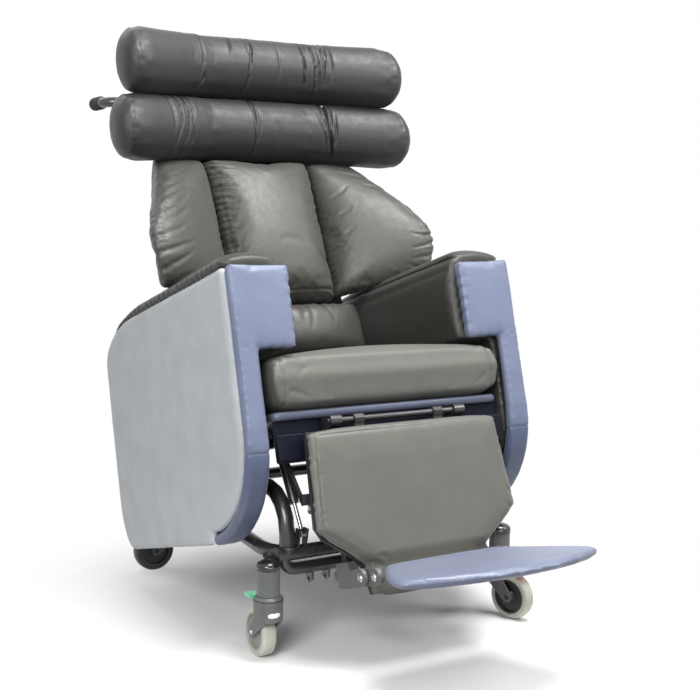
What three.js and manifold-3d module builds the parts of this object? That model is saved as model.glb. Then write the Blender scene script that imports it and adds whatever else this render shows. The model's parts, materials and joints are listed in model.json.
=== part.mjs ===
// Tilt in space care chair on four castors. Millimetres, +Z up, the sitter faces -Y.
// Left and right are the sitter's own, so the right side is on -X.
import * as THREE from 'three';
import { mergeVertices } from 'three/addons/utils/BufferGeometryUtils.js';
import Module from 'manifold-3d';

const wasm = await Module();
wasm.setup();

// Pose in degrees
const tiltAngle = 15;
const reclineAngle = 11.6;
const legrestAngle = 4.5;
const footplateAngle = 9.2;
const frontLeftCastorTurn = 195;
const frontRightCastorTurn = -2;
const rearLeftCastorTurn = -95;
const rearRightCastorTurn = 92;

// Clearances
const gap = 0.3;
const overrun = 25;
const runningGap = 4;

// Base frame
const tubeDiameter = 30;
const crossTubeY = -290;
const baseTubeZ = 209;
const cornerX = 262;
const cornerRadius = 55;
const railFrontY = -215;
const rearAxisY = 400;
const rearStemX = 218;
const lowerTubeDiameter = 26;
const lowerTubeZ = 176;
const lowerTubeHalf = 248;
const tetherLugSize = 25;
const tetherLugThickness = 5;
const tetherLugInner = 150;
const tetherLugPitch = 38;
const tetherHoleDiameter = 9;

// Pivot hoops
const hoopDiameter = 32;
const hoopX = 240;
const hoopTopZ = 330;
const hoopBend = 80;
const hoopRearBendY = 98;
const hoopRearFootY = 190;
const hoopPlateThickness = 12;
const pivotY = 60;
const pivotZ = 358;
const pivotPinDiameter = 16;
const pivotBossDiameter = 28;
const pivotPlateRadius = 18;
const pivotPlateFoot = 46;

// Castors
const wheelDiameter = 100;
const wheelWidth = 30;
const tyreDepth = 12;
const castorTrail = 38;
const frontStemX = 287;
const frontStemY = -300;
const sleeveDiameter = 47;
const sleeveTopZ = 206;
const sleeveCapRise = 13;
const capShoulderShares = { out: 0.78, down: 0.42 };
const capCrownShares = { out: 0.42, down: 0.1 };
const sleeveCapBand = 9;
const collarTopZ = 134;
const collarDepth = 15;
const collarDiameter = 60;
const stemDiameter = 26;
const stemRise = 42;
const hoodDepth = 34;
const hoodWall = 4;
const cheekThickness = 4.5;
const axleDiameter = 11;
const hubRecess = 5;
const cheekFootRadius = 12;
const cheekFootStart = 210;
const cheekFootEnd = 380;
const cheekTopShare = 0.75;
const cheekFrontShare = 0.85;
const earTopShare = 0.7;
const treadFlatShare = 0.6;
const pedalReach = 82;
const pedalRoot = 36;
const pedalPivotDrop = 8;
const pedalBarrel = 8;
const pedalPinDiameter = 4;
const pedalWidth = 34;
const pedalPadLength = 26;
const pedalThickness = 9;
const pedalHeelShare = 0.85;
const pedalPinSides = 8;
const pedalEar = 4;

// Seat frame
const seatRailX = 150;
const seatRailWidth = 25;
const seatRailHeight = 40;
const seatRailTop = 25;
const seatRailFront = -372;
const legrestAxleY = -398;
const legrestAxleZ = 15;
const legrestAxleDiameter = 12;
const legrestAxleEar = 12;
const kneeEarShares = { wide: 0.9, narrow: 0.5, high: 0.7, low: 0.6 };
const backPivotY = 105;
const backPivotZ = 30;
const backAxleDiameter = 14;
const backAxleEar = 15;
const backEarShares = { narrow: 0.5, wide: 0.7 };
const stopArmTopY = -297;
const stopArmFootY = -383;
const stopArmFootZ = -133;
const stopArmWidth = 12;
const stopArmThickness = 6;
const stopArmX = 236;
const stopBlockLength = 12;
const stopBlockHeight = 22;
const stopBlockWidth = 18;
const strutCrossY = -75;
const strutCrossDiameter = 22;

// Seat board and cushion
const boardThickness = 18;
const boardFront = -381;
const boardRear = 70;
const boardNoseHalf = 275;
const boardNoseDepth = 45;
const boardCorner = 22;
const seatCushionFront = -405;
const seatCushionRear = 26;
const seatCushionHalf = 276;
const seatCushionHeight = 128;
const seatCushionCrown = 17;
const seatCushionPull = 11;
const apronDepth = 84;
const apronHalf = 272;
const apronThickness = 3;
const apronWidth = 17;
const apronRear = -364;

// Arms
const armOuter = 349;
const armPadInner = 209;
const armPanelInner = 291;
const panelThickness = 22;
const armFrontY = -398;
const armFrontThickness = 24;
const armTop = 338;
const armPadBottom = 168;
const armBottom = -202;
const armRear = 357;
const armFrontRadius = 215;
const armRearTop = 246;
const armTopRear = 161;
const armRearFoot = 296;
const armRearFootTop = -88;
const armPadCrown = 13;
const armEdge = 9;
const armPadEdge = 13;
const armTopCorner = 14;

// Back frame
const shellFront = -68;
const shellThickness = 18;
const shellBottom = 30;
const shellBendAt = 732;
const shellLean = 80;
const shellTop = 925;
const shellLowerHalf = 200;
const shellUpperHalf = 242;
const shellHeadHalf = 226;
const shellWideFrom = 350;
const shellFlare = 60;
const shellWideTo = 655;
const uprightDiameter = 25;
const uprightX = 120;
const uprightTop = 848;
const uprightBendLift = 4;
const uprightBend = 32;
const handleX = 334;
const handleLength = 48;
const gripDiameter = 33;
const gripLength = 44;
const gripEnd = 5;
const backLugThickness = 8;

// Back cushions
const seamPlane = -178;
const backPadDepth = 108;
const centreBottom = 284;
const centreTop = 664;
const centreHalfBottom = 137;
const centreHalfTop = 143;
const backCrown = 26;
const wingBottom = 302;
const wingTopX = 268;
const wingTopReach = -160;
const wingTipX = 362;
const wingTipReach = -296;
const wingTipZ = 420;
const wingFootX = 346;
const wingFootReach = -262;
const wingRise = 34;
const wingDrop = 34;
const wingPadCentre = 44;
const lumbarHalf = 204;
const lumbarBottom = 152;
const lumbarTop = 282;
const lumbarReach = -168;
const headRollDepth = 136;
const headRollHeight = 152;
const lowerRollY = -148;
const lowerRollZ = 744;
const lowerRollHalf = 384;
const upperRollY = -206.5;
const upperRollZ = 884;
const upperRollHalf = 363;
const rollStraightHalf = 150;
const rollSweep = 90;
const rollDrop = 55;
const rollEndRound = 46;

// Legrest
const legrestPadFront = -30;
const legrestPadBack = -4;
const legrestPadTop = -13;
const legrestWideAt = -220;
const legrestNeckAt = -286;
const legrestPadBottom = -359;
const legrestTopHalf = 232;
const legrestWideHalf = 246;
const legrestNeckHalf = 152;
const legrestFootHalf = 141;
const legrestCrown = 5;
const legrestRecess = 12;
const legrestRounding = 0.05;
const legrestBoardThickness = 11;
const legrestBoardInset = 12;
const legrestLugX = 96;
const legrestLugWidth = 22;
const legrestStemX = 155;
const legrestStemWidth = 10;
const legrestStemFront = 26;
const legrestStemDepth = 18;
const legrestStemTop = -150;
const legrestStemBottom = -324;

// Footplate and its carriers
const carrierFront = 14;
const carrierRear = 58;
const carrierTop = -278;
const carrierBottom = -326;
const carrierWidth = 26;
const carrierArmHeight = 35;
const carrierArmThickness = 8;
const knobDiameter = 24;
const knobLength = 17;
const knobSinkShare = 0.3;
const armBoltY = -29;
const armBoltZ = -312;
const hingeY = -67;
const hingeZ = -315;
const hingePinDiameter = 10;
const linkPlateX = 154;
const linkPlateThickness = 7;
const footArmX = 145.5;
const footArmThickness = 7;
const footArmHeight = 32;
const footArmLength = 42;
const footplateRise = 0;
const footplateThickness = 22;
const footplateBack = 8;
const footplateDepth = 286;
const footplateBackHalf = 132;
const footplateFrontHalf = 232;
const footplateRounding = 0.04;
const footplateCurve = 0.27;
const footplateBase = 4;

// Struts
const strutDiameter = 20;
const strutRodDiameter = 8;
const strutEyeDiameter = 18;
const strutEyeWidth = 12;
const strutX = 211;
const strutFootY = -300;
const strutFootZ = 250;
const strutHeadY = -255;
const strutHeadZ = 8;
const strutTubeLength = 152;
const strutInsert = 78;
const strutEarThickness = 4;
const strutPinDiameter = 8;
const legStrutDiameter = 18;
const legStrutFootY = 26;
const legStrutFootZ = -92;
const legStrutHeadY = -75;
const legStrutHeadZ = -42;
const legStrutTubeLength = 170;
const legStrutInsert = 125;

// Facets of a full circle
const fineSides = 20;
const roundSides = 16;
const tubeSides = 12;
const castorSides = 12;
const smallSides = 10;

const radians = THREE.MathUtils.degToRad;
const lerp = THREE.MathUtils.lerp;
const point = (x, y, z) => new THREE.Vector3(x, y, z);

// Finishes
const finish = (color, roughness, metalness) => new THREE.MeshStandardMaterial({ color, roughness, metalness });
const framePaint = finish('#1d1d1f', 0.3, 0.5);
const blackPlastic = finish('#26262a', 0.55, 0);
const castorPlastic = finish('#4a4b4c', 0.5, 0);
const greyPlastic = finish('#8f9492', 0.5, 0);
const greyTyre = finish('#c3c2ba', 0.75, 0);
const greenPlastic = finish('#63c98f', 0.45, 0);
const redPlastic = finish('#e23a3d', 0.45, 0);
const charcoalVinyl = finish('#54544f', 0.5, 0);
const blackVinyl = finish('#2c2c2c', 0.5, 0);
const paleBlueVinyl = finish('#a3aebd', 0.55, 0);
const blueVinyl = finish('#8089ad', 0.55, 0);
const zincSteel = finish('#a9acae', 0.35, 0.9);

// Turns any closed geometry into one merged body whose faces point out
function closed(geometry) {
  const bare = geometry.clone();
  bare.deleteAttribute('normal');
  bare.deleteAttribute('uv');
  const merged = mergeVertices(bare);
  const at = merged.attributes.position;
  const corners = [point(), point(), point()];
  const kept = [];
  let volume = 0;
  for (let i = 0; i < merged.index.count; i += 3) {
    const ids = [0, 1, 2].map((k) => merged.index.getX(i + k));
    if (ids[0] === ids[1] || ids[1] === ids[2] || ids[2] === ids[0]) continue;
    ids.forEach((id, k) => corners[k].fromBufferAttribute(at, id));
    volume += corners[0].dot(corners[1].clone().cross(corners[2]));
    kept.push(ids);
  }
  const ordered = volume < 0 ? kept.map(([a, b, c]) => [a, c, b]) : kept;
  merged.setIndex(ordered.flat());
  return merged;
}

function solidOf(geometry) {
  const body = closed(geometry);
  return new wasm.Manifold(new wasm.Mesh({
    numProp: 3,
    vertProperties: new Float32Array(body.attributes.position.array),
    triVerts: new Uint32Array(body.index.array),
  }));
}

function geometryOf(solid) {
  const mesh = solid.getMesh();
  const geometry = new THREE.BufferGeometry();
  geometry.setAttribute('position', new THREE.BufferAttribute(mesh.vertProperties, 3));
  geometry.setIndex(new THREE.BufferAttribute(mesh.triVerts, 1));
  return geometry;
}

const join = (...geometries) => geometryOf(geometries.map(solidOf).reduce((a, b) => a.add(b)));
const cut = (geometry, ...tools) => geometryOf(tools.map(solidOf).reduce((a, b) => a.subtract(b), solidOf(geometry)));
const common = (first, second) => geometryOf(solidOf(first).intersect(solidOf(second)));
const mirrored = (geometry) => closed(geometry.clone().scale(-1, 1, 1));
const moved = (geometry, x, y, z) => geometry.clone().translate(x, y, z);

function part(name, geometry, material, group) {
  const body = closed(geometry);
  const flat = body.toNonIndexed();
  flat.computeVertexNormals();
  const mesh = new THREE.Mesh(flat, material.clone());
  mesh.name = name;
  group.add(mesh);
  return mesh;
}

// Extrudes an outline between two planes square to one axis
function slab(outline, low, high, axis, edge = 0, edgeSteps = 2, curveSegments = 10) {
  const geometry = new THREE.ExtrudeGeometry(outline, {
    depth: high - low - 2 * edge,
    bevelEnabled: edge > 0,
    bevelThickness: edge,
    bevelSize: edge,
    bevelOffset: -edge,
    bevelSegments: edgeSteps,
    curveSegments,
  });
  const turn = new THREE.Matrix4();
  if (axis === 'x') turn.makeBasis(point(0, 1, 0), point(0, 0, 1), point(1, 0, 0));
  if (axis === 'y') turn.makeBasis(point(1, 0, 0), point(0, 0, 1), point(0, -1, 0));
  geometry.translate(0, 0, edge);
  geometry.applyMatrix4(turn);
  if (axis === 'x') return geometry.translate(low, 0, 0);
  if (axis === 'y') return geometry.translate(0, high, 0);
  return geometry.translate(0, 0, low);
}

function polygon(...corners) {
  return new THREE.Shape(corners.map(([x, y]) => new THREE.Vector2(x, y)));
}

function box(x0, x1, y0, y1, z0, z1) {
  return new THREE.BoxGeometry(x1 - x0, y1 - y0, z1 - z0).translate((x0 + x1) / 2, (y0 + y1) / 2, (z0 + z1) / 2);
}

function rod(radius, from, to, sides = tubeSides) {
  const along = to.clone().sub(from);
  const geometry = new THREE.CylinderGeometry(radius, radius, along.length(), sides);
  const turn = new THREE.Quaternion().setFromUnitVectors(point(0, 1, 0), along.clone().normalize());
  return geometry.applyQuaternion(turn).translate(...from.clone().add(to).multiplyScalar(1 / 2).toArray());
}

// Rod along X at one place in the side view
const axle = (radius, x0, x1, y, z, sides = tubeSides) => rod(radius, point(x0, y, z), point(x1, y, z), sides);

// Revolves a profile of radius and height pairs about the Z axis
function turned(profile, sides = fineSides) {
  const outline = profile.map(([radius, height]) => new THREE.Vector2(radius, height));
  return new THREE.LatheGeometry(outline, sides).rotateX(Math.PI / 2);
}

// Centre line with round bends at its inner corners
class BentLine extends THREE.Curve {
  constructor(corners, radius, bendSteps = 4) {
    super();
    this.spine = [corners[0]];
    for (let i = 1; i < corners.length - 1; i += 1) {
      const into = corners[i].clone().sub(corners[i - 1]).normalize();
      const away = corners[i + 1].clone().sub(corners[i]).normalize();
      const turn = into.angleTo(away);
      const start = corners[i].clone().addScaledVector(into, -radius * Math.tan(turn / 2));
      const side = away.clone().addScaledVector(into, -into.dot(away)).normalize();
      for (let k = 0; k <= bendSteps; k += 1) {
        const angle = turn * k / bendSteps;
        const spot = start.clone().addScaledVector(side, radius * (1 - Math.cos(angle)));
        this.spine.push(spot.addScaledVector(into, radius * Math.sin(angle)));
      }
    }
    this.spine.push(corners[corners.length - 1]);
  }

  get steps() {
    return this.spine.length - 1;
  }

  getPointAt(share) {
    return this.spine[Math.round(share * this.steps)].clone();
  }

  getTangentAt(share) {
    const i = Math.round(share * this.steps);
    const before = this.spine[Math.max(i - 1, 0)];
    const after = this.spine[Math.min(i + 1, this.steps)];
    const here = this.spine[i];
    const into = i > 0 ? here.clone().sub(before).normalize() : after.clone().sub(here).normalize();
    const away = i < this.steps ? after.clone().sub(here).normalize() : into.clone();
    return into.add(away).normalize();
  }
}

function tube(corners, bendRadius, radius, sides = tubeSides) {
  const line = new BentLine(corners, bendRadius);
  const ring = new THREE.Shape().absarc(0, 0, radius, 0, 2 * Math.PI);
  return new THREE.ExtrudeGeometry(ring, { steps: line.steps, extrudePath: line, curveSegments: sides / 2 });
}

// Padded form: a seam surface that swells in front and behind, for a and b from -1 to 1
function pillow({ seam, front, back, columns, rows, squareness = 7, softness = 3 }) {
  const spread = (i, n) => Math.sin(Math.PI * (i / n - 1 / 2));
  const swell = (a, b) => ((1 - Math.abs(a) ** squareness) * (1 - Math.abs(b) ** squareness)) ** (1 / softness);
  const places = [];
  const faces = [];
  const layer = (offset, shared) => {
    const ids = [];
    for (let j = 0; j <= rows; j += 1) {
      for (let i = 0; i <= columns; i += 1) {
        const onEdge = i === 0 || j === 0 || i === columns || j === rows;
        const a = spread(i, columns);
        const b = spread(j, rows);
        if (onEdge && shared) {
          ids.push(shared[j * (columns + 1) + i]);
          continue;
        }
        const full = onEdge ? 0 : swell(a, b);
        places.push(...seam(a, b).addScaledVector(offset(a, b), full).toArray());
        ids.push(places.length / 3 - 1);
      }
    }
    return ids;
  };
  const skin = (ids, flip) => {
    for (let j = 0; j < rows; j += 1) {
      for (let i = 0; i < columns; i += 1) {
        const first = j * (columns + 1) + i;
        const [p, q, r, s] = [ids[first], ids[first + 1], ids[first + columns + 2], ids[first + columns + 1]];
        faces.push(...(flip ? [p, r, q, p, s, r] : [p, q, r, p, r, s]));
      }
    }
  };
  const frontIds = layer(front, null);
  const backIds = layer(back, frontIds);
  skin(frontIds, false);
  skin(backIds, true);
  const geometry = new THREE.BufferGeometry();
  geometry.setAttribute('position', new THREE.Float32BufferAttribute(places, 3));
  geometry.setIndex(faces);
  return geometry;
}

// Chair and its turning groups
const chair = new THREE.Group();
const chassis = new THREE.Group();
const seatUnit = new THREE.Group();
const backUnit = new THREE.Group();
const legrestUnit = new THREE.Group();
const footplateUnit = new THREE.Group();
chair.add(chassis, seatUnit);
seatUnit.add(backUnit, legrestUnit);
legrestUnit.add(footplateUnit);
seatUnit.position.set(0, pivotY, pivotZ);
seatUnit.rotation.x = -radians(tiltAngle);
backUnit.position.set(0, backPivotY, backPivotZ);
backUnit.rotation.x = -radians(reclineAngle);
legrestUnit.position.set(0, legrestAxleY, legrestAxleZ);
legrestUnit.rotation.x = -radians(legrestAngle);
footplateUnit.position.set(0, hingeY, hingeZ);
footplateUnit.rotation.x = radians(footplateAngle);

// Base frame of welded tube
const tubeRadius = tubeDiameter / 2;
const sleeveRadius = sleeveDiameter / 2;
const sleeveSeat = (x, y) => rod(
  sleeveRadius + gap, point(x, y, collarTopZ - overrun), point(x, y, baseTubeZ + 2 * overrun), fineSides,
);
const frontLoop = (radius) => tube(
  [
    point(-cornerX, railFrontY, baseTubeZ),
    point(-cornerX, crossTubeY, baseTubeZ),
    point(cornerX, crossTubeY, baseTubeZ),
    point(cornerX, railFrontY, baseTubeZ),
  ],
  cornerRadius,
  radius,
);
const frontStub = axle(tubeRadius, -frontStemX, frontStemX, crossTubeY, baseTubeZ);
const strutFootTop = strutFootZ + strutEyeDiameter / 2;
const strutEar = (x) => {
  const outline = polygon(
    [crossTubeY - tubeRadius / 2, baseTubeZ],
    [crossTubeY + tubeRadius / 2, baseTubeZ],
    [strutFootY + strutEyeDiameter / 2, strutFootTop],
    [strutFootY - strutEyeDiameter / 2, strutFootTop],
  );
  return slab(outline, x - strutEarThickness / 2, x + strutEarThickness / 2, 'x');
};
const strutEarOffset = strutEyeWidth / 2 + gap + strutEarThickness / 2 + gap;
const strutEars = [-1, 1].flatMap((side) => [-1, 1].map((face) => strutEar(side * strutX + face * strutEarOffset)));
const tetherLug = (x) => {
  const outline = polygon(
    [crossTubeY - tetherLugSize / 2, lowerTubeZ],
    [crossTubeY - tetherLugSize / 2, lowerTubeZ - tetherLugSize],
    [crossTubeY, lowerTubeZ - tetherLugSize - lowerTubeDiameter / 3],
    [crossTubeY + tetherLugSize / 2, lowerTubeZ - tetherLugSize],
    [crossTubeY + tetherLugSize / 2, lowerTubeZ],
  );
  const hole = new THREE.Path();
  hole.absarc(crossTubeY, lowerTubeZ - tetherLugSize, tetherHoleDiameter / 2, 0, 2 * Math.PI);
  outline.holes.push(hole);
  return slab(outline, x - tetherLugThickness / 2, x + tetherLugThickness / 2, 'x', 0, 1, 3);
};
const lowerTubeBend = lowerTubeDiameter;
const lowerLoop = tube(
  [
    point(-lowerTubeHalf, crossTubeY, baseTubeZ),
    point(-lowerTubeHalf, crossTubeY, lowerTubeZ),
    point(lowerTubeHalf, crossTubeY, lowerTubeZ),
    point(lowerTubeHalf, crossTubeY, baseTubeZ),
  ],
  lowerTubeBend,
  lowerTubeDiameter / 2,
);
const tetherLugs = [0, 1].map((i) => tetherLug(-tetherLugInner - i * tetherLugPitch));
part(
  'front_cross_tube',
  cut(
    join(frontLoop(tubeRadius), frontStub, ...strutEars, lowerLoop, ...tetherLugs),
    sleeveSeat(frontStemX, frontStemY),
    sleeveSeat(-frontStemX, frontStemY),
  ),
  framePaint,
  chassis,
);

const rearSleeve = (x) => turned([
  [0, collarTopZ + stemRise + gap],
  [stemDiameter / 2 + gap, collarTopZ + stemRise + gap],
  [stemDiameter / 2 + gap, collarTopZ + gap],
  [sleeveRadius, collarTopZ + gap],
  [sleeveRadius, sleeveTopZ + sleeveCapRise],
  [sleeveRadius * 2 / 3, sleeveTopZ + sleeveCapRise + tubeRadius / 3],
  [0, sleeveTopZ + sleeveCapRise + tubeRadius / 2],
], castorSides).translate(x, rearAxisY, 0);
const rearTube = axle(tubeRadius, -rearStemX, rearStemX, rearAxisY, baseTubeZ);
const stemBore = (x) => rod(
  stemDiameter / 2 + gap, point(x, rearAxisY, collarTopZ), point(x, rearAxisY, collarTopZ + stemRise + gap), castorSides,
);
part(
  'rear_cross_tube',
  cut(join(rearSleeve(-rearStemX), rearTube, rearSleeve(rearStemX)), stemBore(-rearStemX), stemBore(rearStemX)),
  framePaint,
  chassis,
);

const railStartY = railFrontY + runningGap / 2;
const railEndX = rearStemX - tubeRadius / 2;
const sideRail = cut(
  rod(tubeRadius, point(cornerX, railStartY, baseTubeZ), point(railEndX, rearAxisY, baseTubeZ)),
  sleeveSeat(rearStemX, rearAxisY),
  axle(tubeRadius + gap, -rearStemX, rearStemX, rearAxisY, baseTubeZ, fineSides),
);
part('side_rail_left', sideRail, framePaint, chassis);
part('side_rail_right', mirrored(sideRail), framePaint, chassis);

// Bent hoops that carry the tilt pivots
const seatRailInner = seatRailX - seatRailWidth / 2;
const seatRailOuter = seatRailX + seatRailWidth / 2;
const hoopRadius = hoopDiameter / 2;
const pivotPlate = () => {
  const outline = new THREE.Shape();
  outline.moveTo(pivotY - pivotPlateFoot, hoopTopZ);
  outline.lineTo(pivotY + pivotPlateFoot / 2, hoopTopZ);
  outline.lineTo(pivotY + pivotPlateRadius, pivotZ);
  outline.absarc(pivotY, pivotZ, pivotPlateRadius, 0, Math.PI);
  return slab(outline, hoopX - hoopPlateThickness / 2, hoopX + hoopPlateThickness / 2, 'x', 0, 1, 5);
};
const hoop = cut(
  join(
    tube(
      [
        point(hoopX, crossTubeY, baseTubeZ),
        point(hoopX, crossTubeY, hoopTopZ),
        point(hoopX, hoopRearBendY, hoopTopZ),
        point(hoopX, hoopRearFootY, baseTubeZ),
      ],
      hoopBend,
      hoopRadius,
    ),
    pivotPlate(),
    axle(pivotBossDiameter / 2, seatRailOuter + gap, hoopX, pivotY, pivotZ),
    axle(pivotPinDiameter / 2, seatRailInner - runningGap, hoopX, pivotY, pivotZ),
  ),
  frontLoop(tubeRadius + 2 * gap),
  axle(tubeRadius + 2 * gap, -frontStemX, frontStemX, crossTubeY, baseTubeZ),
  rod(tubeRadius + gap, point(cornerX, railFrontY, baseTubeZ), point(railEndX, rearAxisY, baseTubeZ), fineSides),
  box(hoopX - overrun, hoopX + overrun, crossTubeY - overrun, rearAxisY, 0, baseTubeZ),
);
part('pivot_hoop_left', hoop, framePaint, chassis);
part('pivot_hoop_right', mirrored(hoop), framePaint, chassis);

// Front castor sleeves with domed caps
const sleeveWall = sleeveRadius - gap;
const sleeve = turned([
  [0, collarTopZ + stemRise + gap],
  [stemDiameter / 2 + gap, collarTopZ + stemRise + gap],
  [stemDiameter / 2 + gap, collarTopZ + gap],
  [sleeveWall, collarTopZ + gap],
  [sleeveWall, sleeveTopZ - sleeveCapRise - sleeveCapBand],
  [sleeveRadius, sleeveTopZ - sleeveCapRise - sleeveCapBand],
  [sleeveRadius, sleeveTopZ - sleeveCapRise],
  [sleeveRadius * capShoulderShares.out, sleeveTopZ - sleeveCapRise * capShoulderShares.down],
  [sleeveRadius * capCrownShares.out, sleeveTopZ - sleeveCapRise * capCrownShares.down],
  [0, sleeveTopZ],
], roundSides);
part('castor_sleeve_left', moved(sleeve, frontStemX, frontStemY, 0), greyPlastic, chassis);
part('castor_sleeve_right', moved(sleeve, -frontStemX, frontStemY, 0), greyPlastic, chassis);

// Castors, each a hood that swivels, a wheel centre with its tyre, and a brake pedal
const wheelRadius = wheelDiameter / 2;
const hubRadius = wheelRadius - tyreDepth;
const collarRadius = collarDiameter / 2;
const collarBottomZ = collarTopZ - collarDepth;
const cheekInner = wheelWidth / 2 + runningGap / 2;
const cheekOuter = cheekInner + cheekThickness;
const pedalPivotZ = collarBottomZ - pedalPivotDrop;

function castorHood() {
  const collar = turned([
    [0, collarBottomZ],
    [collarRadius, collarBottomZ],
    [collarRadius, collarTopZ - hoodWall],
    [collarRadius - hoodWall, collarTopZ],
    [stemDiameter / 2, collarTopZ],
    [stemDiameter / 2, collarTopZ + stemRise],
    [0, collarTopZ + stemRise],
  ], castorSides);
  const bell = turned([
    [0, collarBottomZ - hoodDepth],
    [collarRadius - gap, collarBottomZ - hoodDepth],
    [collarRadius - gap, collarBottomZ + hoodWall],
    [0, collarBottomZ + hoodWall],
  ], castorSides);
  const bellBore = turned([
    [0, collarBottomZ - hoodDepth - overrun],
    [collarRadius - hoodWall, collarBottomZ - hoodDepth - overrun],
    [collarRadius - hoodWall, collarBottomZ - hoodWall],
    [0, collarBottomZ - hoodWall],
  ], castorSides);
  const cheekOutline = new THREE.Shape();
  cheekOutline.moveTo(-collarRadius * cheekTopShare, collarBottomZ);
  cheekOutline.lineTo(-collarRadius * cheekTopShare, collarBottomZ - hoodDepth);
  cheekOutline.lineTo(castorTrail - cheekFootRadius, wheelRadius - cheekFootRadius / 2);
  cheekOutline.absarc(castorTrail, wheelRadius, cheekFootRadius, radians(cheekFootStart), radians(cheekFootEnd));
  cheekOutline.lineTo(collarRadius * cheekFrontShare, collarBottomZ - hoodDepth);
  cheekOutline.lineTo(collarRadius * cheekTopShare, collarBottomZ);
  const cheek = slab(cheekOutline, cheekInner, cheekOuter, 'x', 0, 1, 3);
  const earOutline = new THREE.Shape();
  earOutline.moveTo(collarRadius * earTopShare, collarBottomZ);
  earOutline.lineTo(collarRadius * earTopShare, pedalPivotZ - pedalBarrel / 2);
  earOutline.lineTo(pedalRoot, pedalPivotZ - pedalBarrel / 2);
  earOutline.absarc(pedalRoot, pedalPivotZ, pedalBarrel / 2, -Math.PI / 2, Math.PI / 2);
  const ear = slab(earOutline, pedalWidth / 4 + gap, pedalWidth / 4 + gap + pedalEar, 'x', 0, 1, 3);
  const rearOpening = box(
    -cheekInner, cheekInner, 0, collarRadius + overrun, 0, collarBottomZ - hoodWall,
  );
  const openBell = cut(bell, bellBore, rearOpening);
  const wheelRoom = axle(wheelRadius + runningGap / 2, -cheekInner, cheekInner, castorTrail, wheelRadius, fineSides);
  const shell = cut(join(collar, openBell, cheek, mirrored(cheek)), wheelRoom);
  return join(
    shell,
    ear,
    mirrored(ear),
    axle(pedalPinDiameter / 2, -pedalWidth / 4 - pedalEar, pedalWidth / 4 + pedalEar, pedalRoot, pedalPivotZ, pedalPinSides),
    axle(axleDiameter / 2, -cheekOuter, cheekOuter, castorTrail, wheelRadius, smallSides),
  );
}

function wheelCentre() {
  const half = wheelWidth / 2;
  const rim = hubRadius - tyreDepth / 3;
  const boss = axleDiameter;
  const bore = axleDiameter / 2 + gap;
  return turned([
    [bore, -half],
    [boss, -half],
    [rim - hubRecess, hubRecess - half],
    [rim, -half],
    [hubRadius, -half],
    [hubRadius, half],
    [rim, half],
    [rim - hubRecess, half - hubRecess],
    [boss, half],
    [bore, half],
    [bore, -half],
  ], roundSides).rotateY(Math.PI / 2);
}

function tyre() {
  const half = wheelWidth / 2 - gap;
  const inner = hubRadius + gap;
  return turned([
    [inner, -half],
    [wheelRadius - tyreDepth / 3, -half],
    [wheelRadius, -half * treadFlatShare],
    [wheelRadius, half * treadFlatShare],
    [wheelRadius - tyreDepth / 3, half],
    [inner, half],
    [inner, -half],
  ], roundSides).rotateY(Math.PI / 2);
}

function brakePedal() {
  const arm = new THREE.Shape();
  arm.moveTo(0, -pedalBarrel / 2);
  arm.lineTo(pedalReach - pedalRoot - pedalPadLength, -pedalBarrel / 4);
  arm.lineTo(pedalReach - pedalRoot, pedalThickness / 3);
  arm.lineTo(pedalReach - pedalRoot, pedalThickness);
  arm.lineTo(pedalReach - pedalRoot - pedalPadLength, pedalThickness * pedalHeelShare);
  arm.lineTo(0, pedalBarrel / 2);
  arm.absarc(0, 0, pedalBarrel / 2, Math.PI / 2, Math.PI * 3 / 2);
  const lever = slab(arm, -pedalWidth / 4, pedalWidth / 4, 'x', 0, 1, 4);
  const pad = box(
    -pedalWidth / 2, pedalWidth / 2,
    pedalReach - pedalRoot - pedalPadLength, pedalReach - pedalRoot,
    pedalThickness / 3, pedalThickness,
  );
  return cut(join(lever, pad), axle(pedalPinDiameter / 2 + gap, -pedalWidth, pedalWidth, 0, 0, pedalPinSides));
}

const castorPlaces = [
  ['front_left', frontStemX, frontStemY, frontLeftCastorTurn, redPlastic],
  ['front_right', -frontStemX, frontStemY, frontRightCastorTurn, greenPlastic],
  ['rear_left', rearStemX, rearAxisY, rearLeftCastorTurn, blackPlastic],
  ['rear_right', -rearStemX, rearAxisY, rearRightCastorTurn, blackPlastic],
];
for (const [place, x, y, turn, pedalColour] of castorPlaces) {
  const castor = new THREE.Group();
  castor.position.set(x, y, 0);
  castor.rotation.z = radians(turn);
  chassis.add(castor);
  const onAxle = (mesh) => mesh.position.set(0, castorTrail, wheelRadius);
  part(`castor_hood_${place}`, castorHood(), castorPlastic, castor);
  onAxle(part(`wheel_centre_${place}`, wheelCentre(), castorPlastic, castor));
  onAxle(part(`tyre_${place}`, tyre(), greyTyre, castor));
  part(`brake_pedal_${place}`, brakePedal(), pedalColour, castor).position.set(0, pedalRoot, pedalPivotZ);
}

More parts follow.
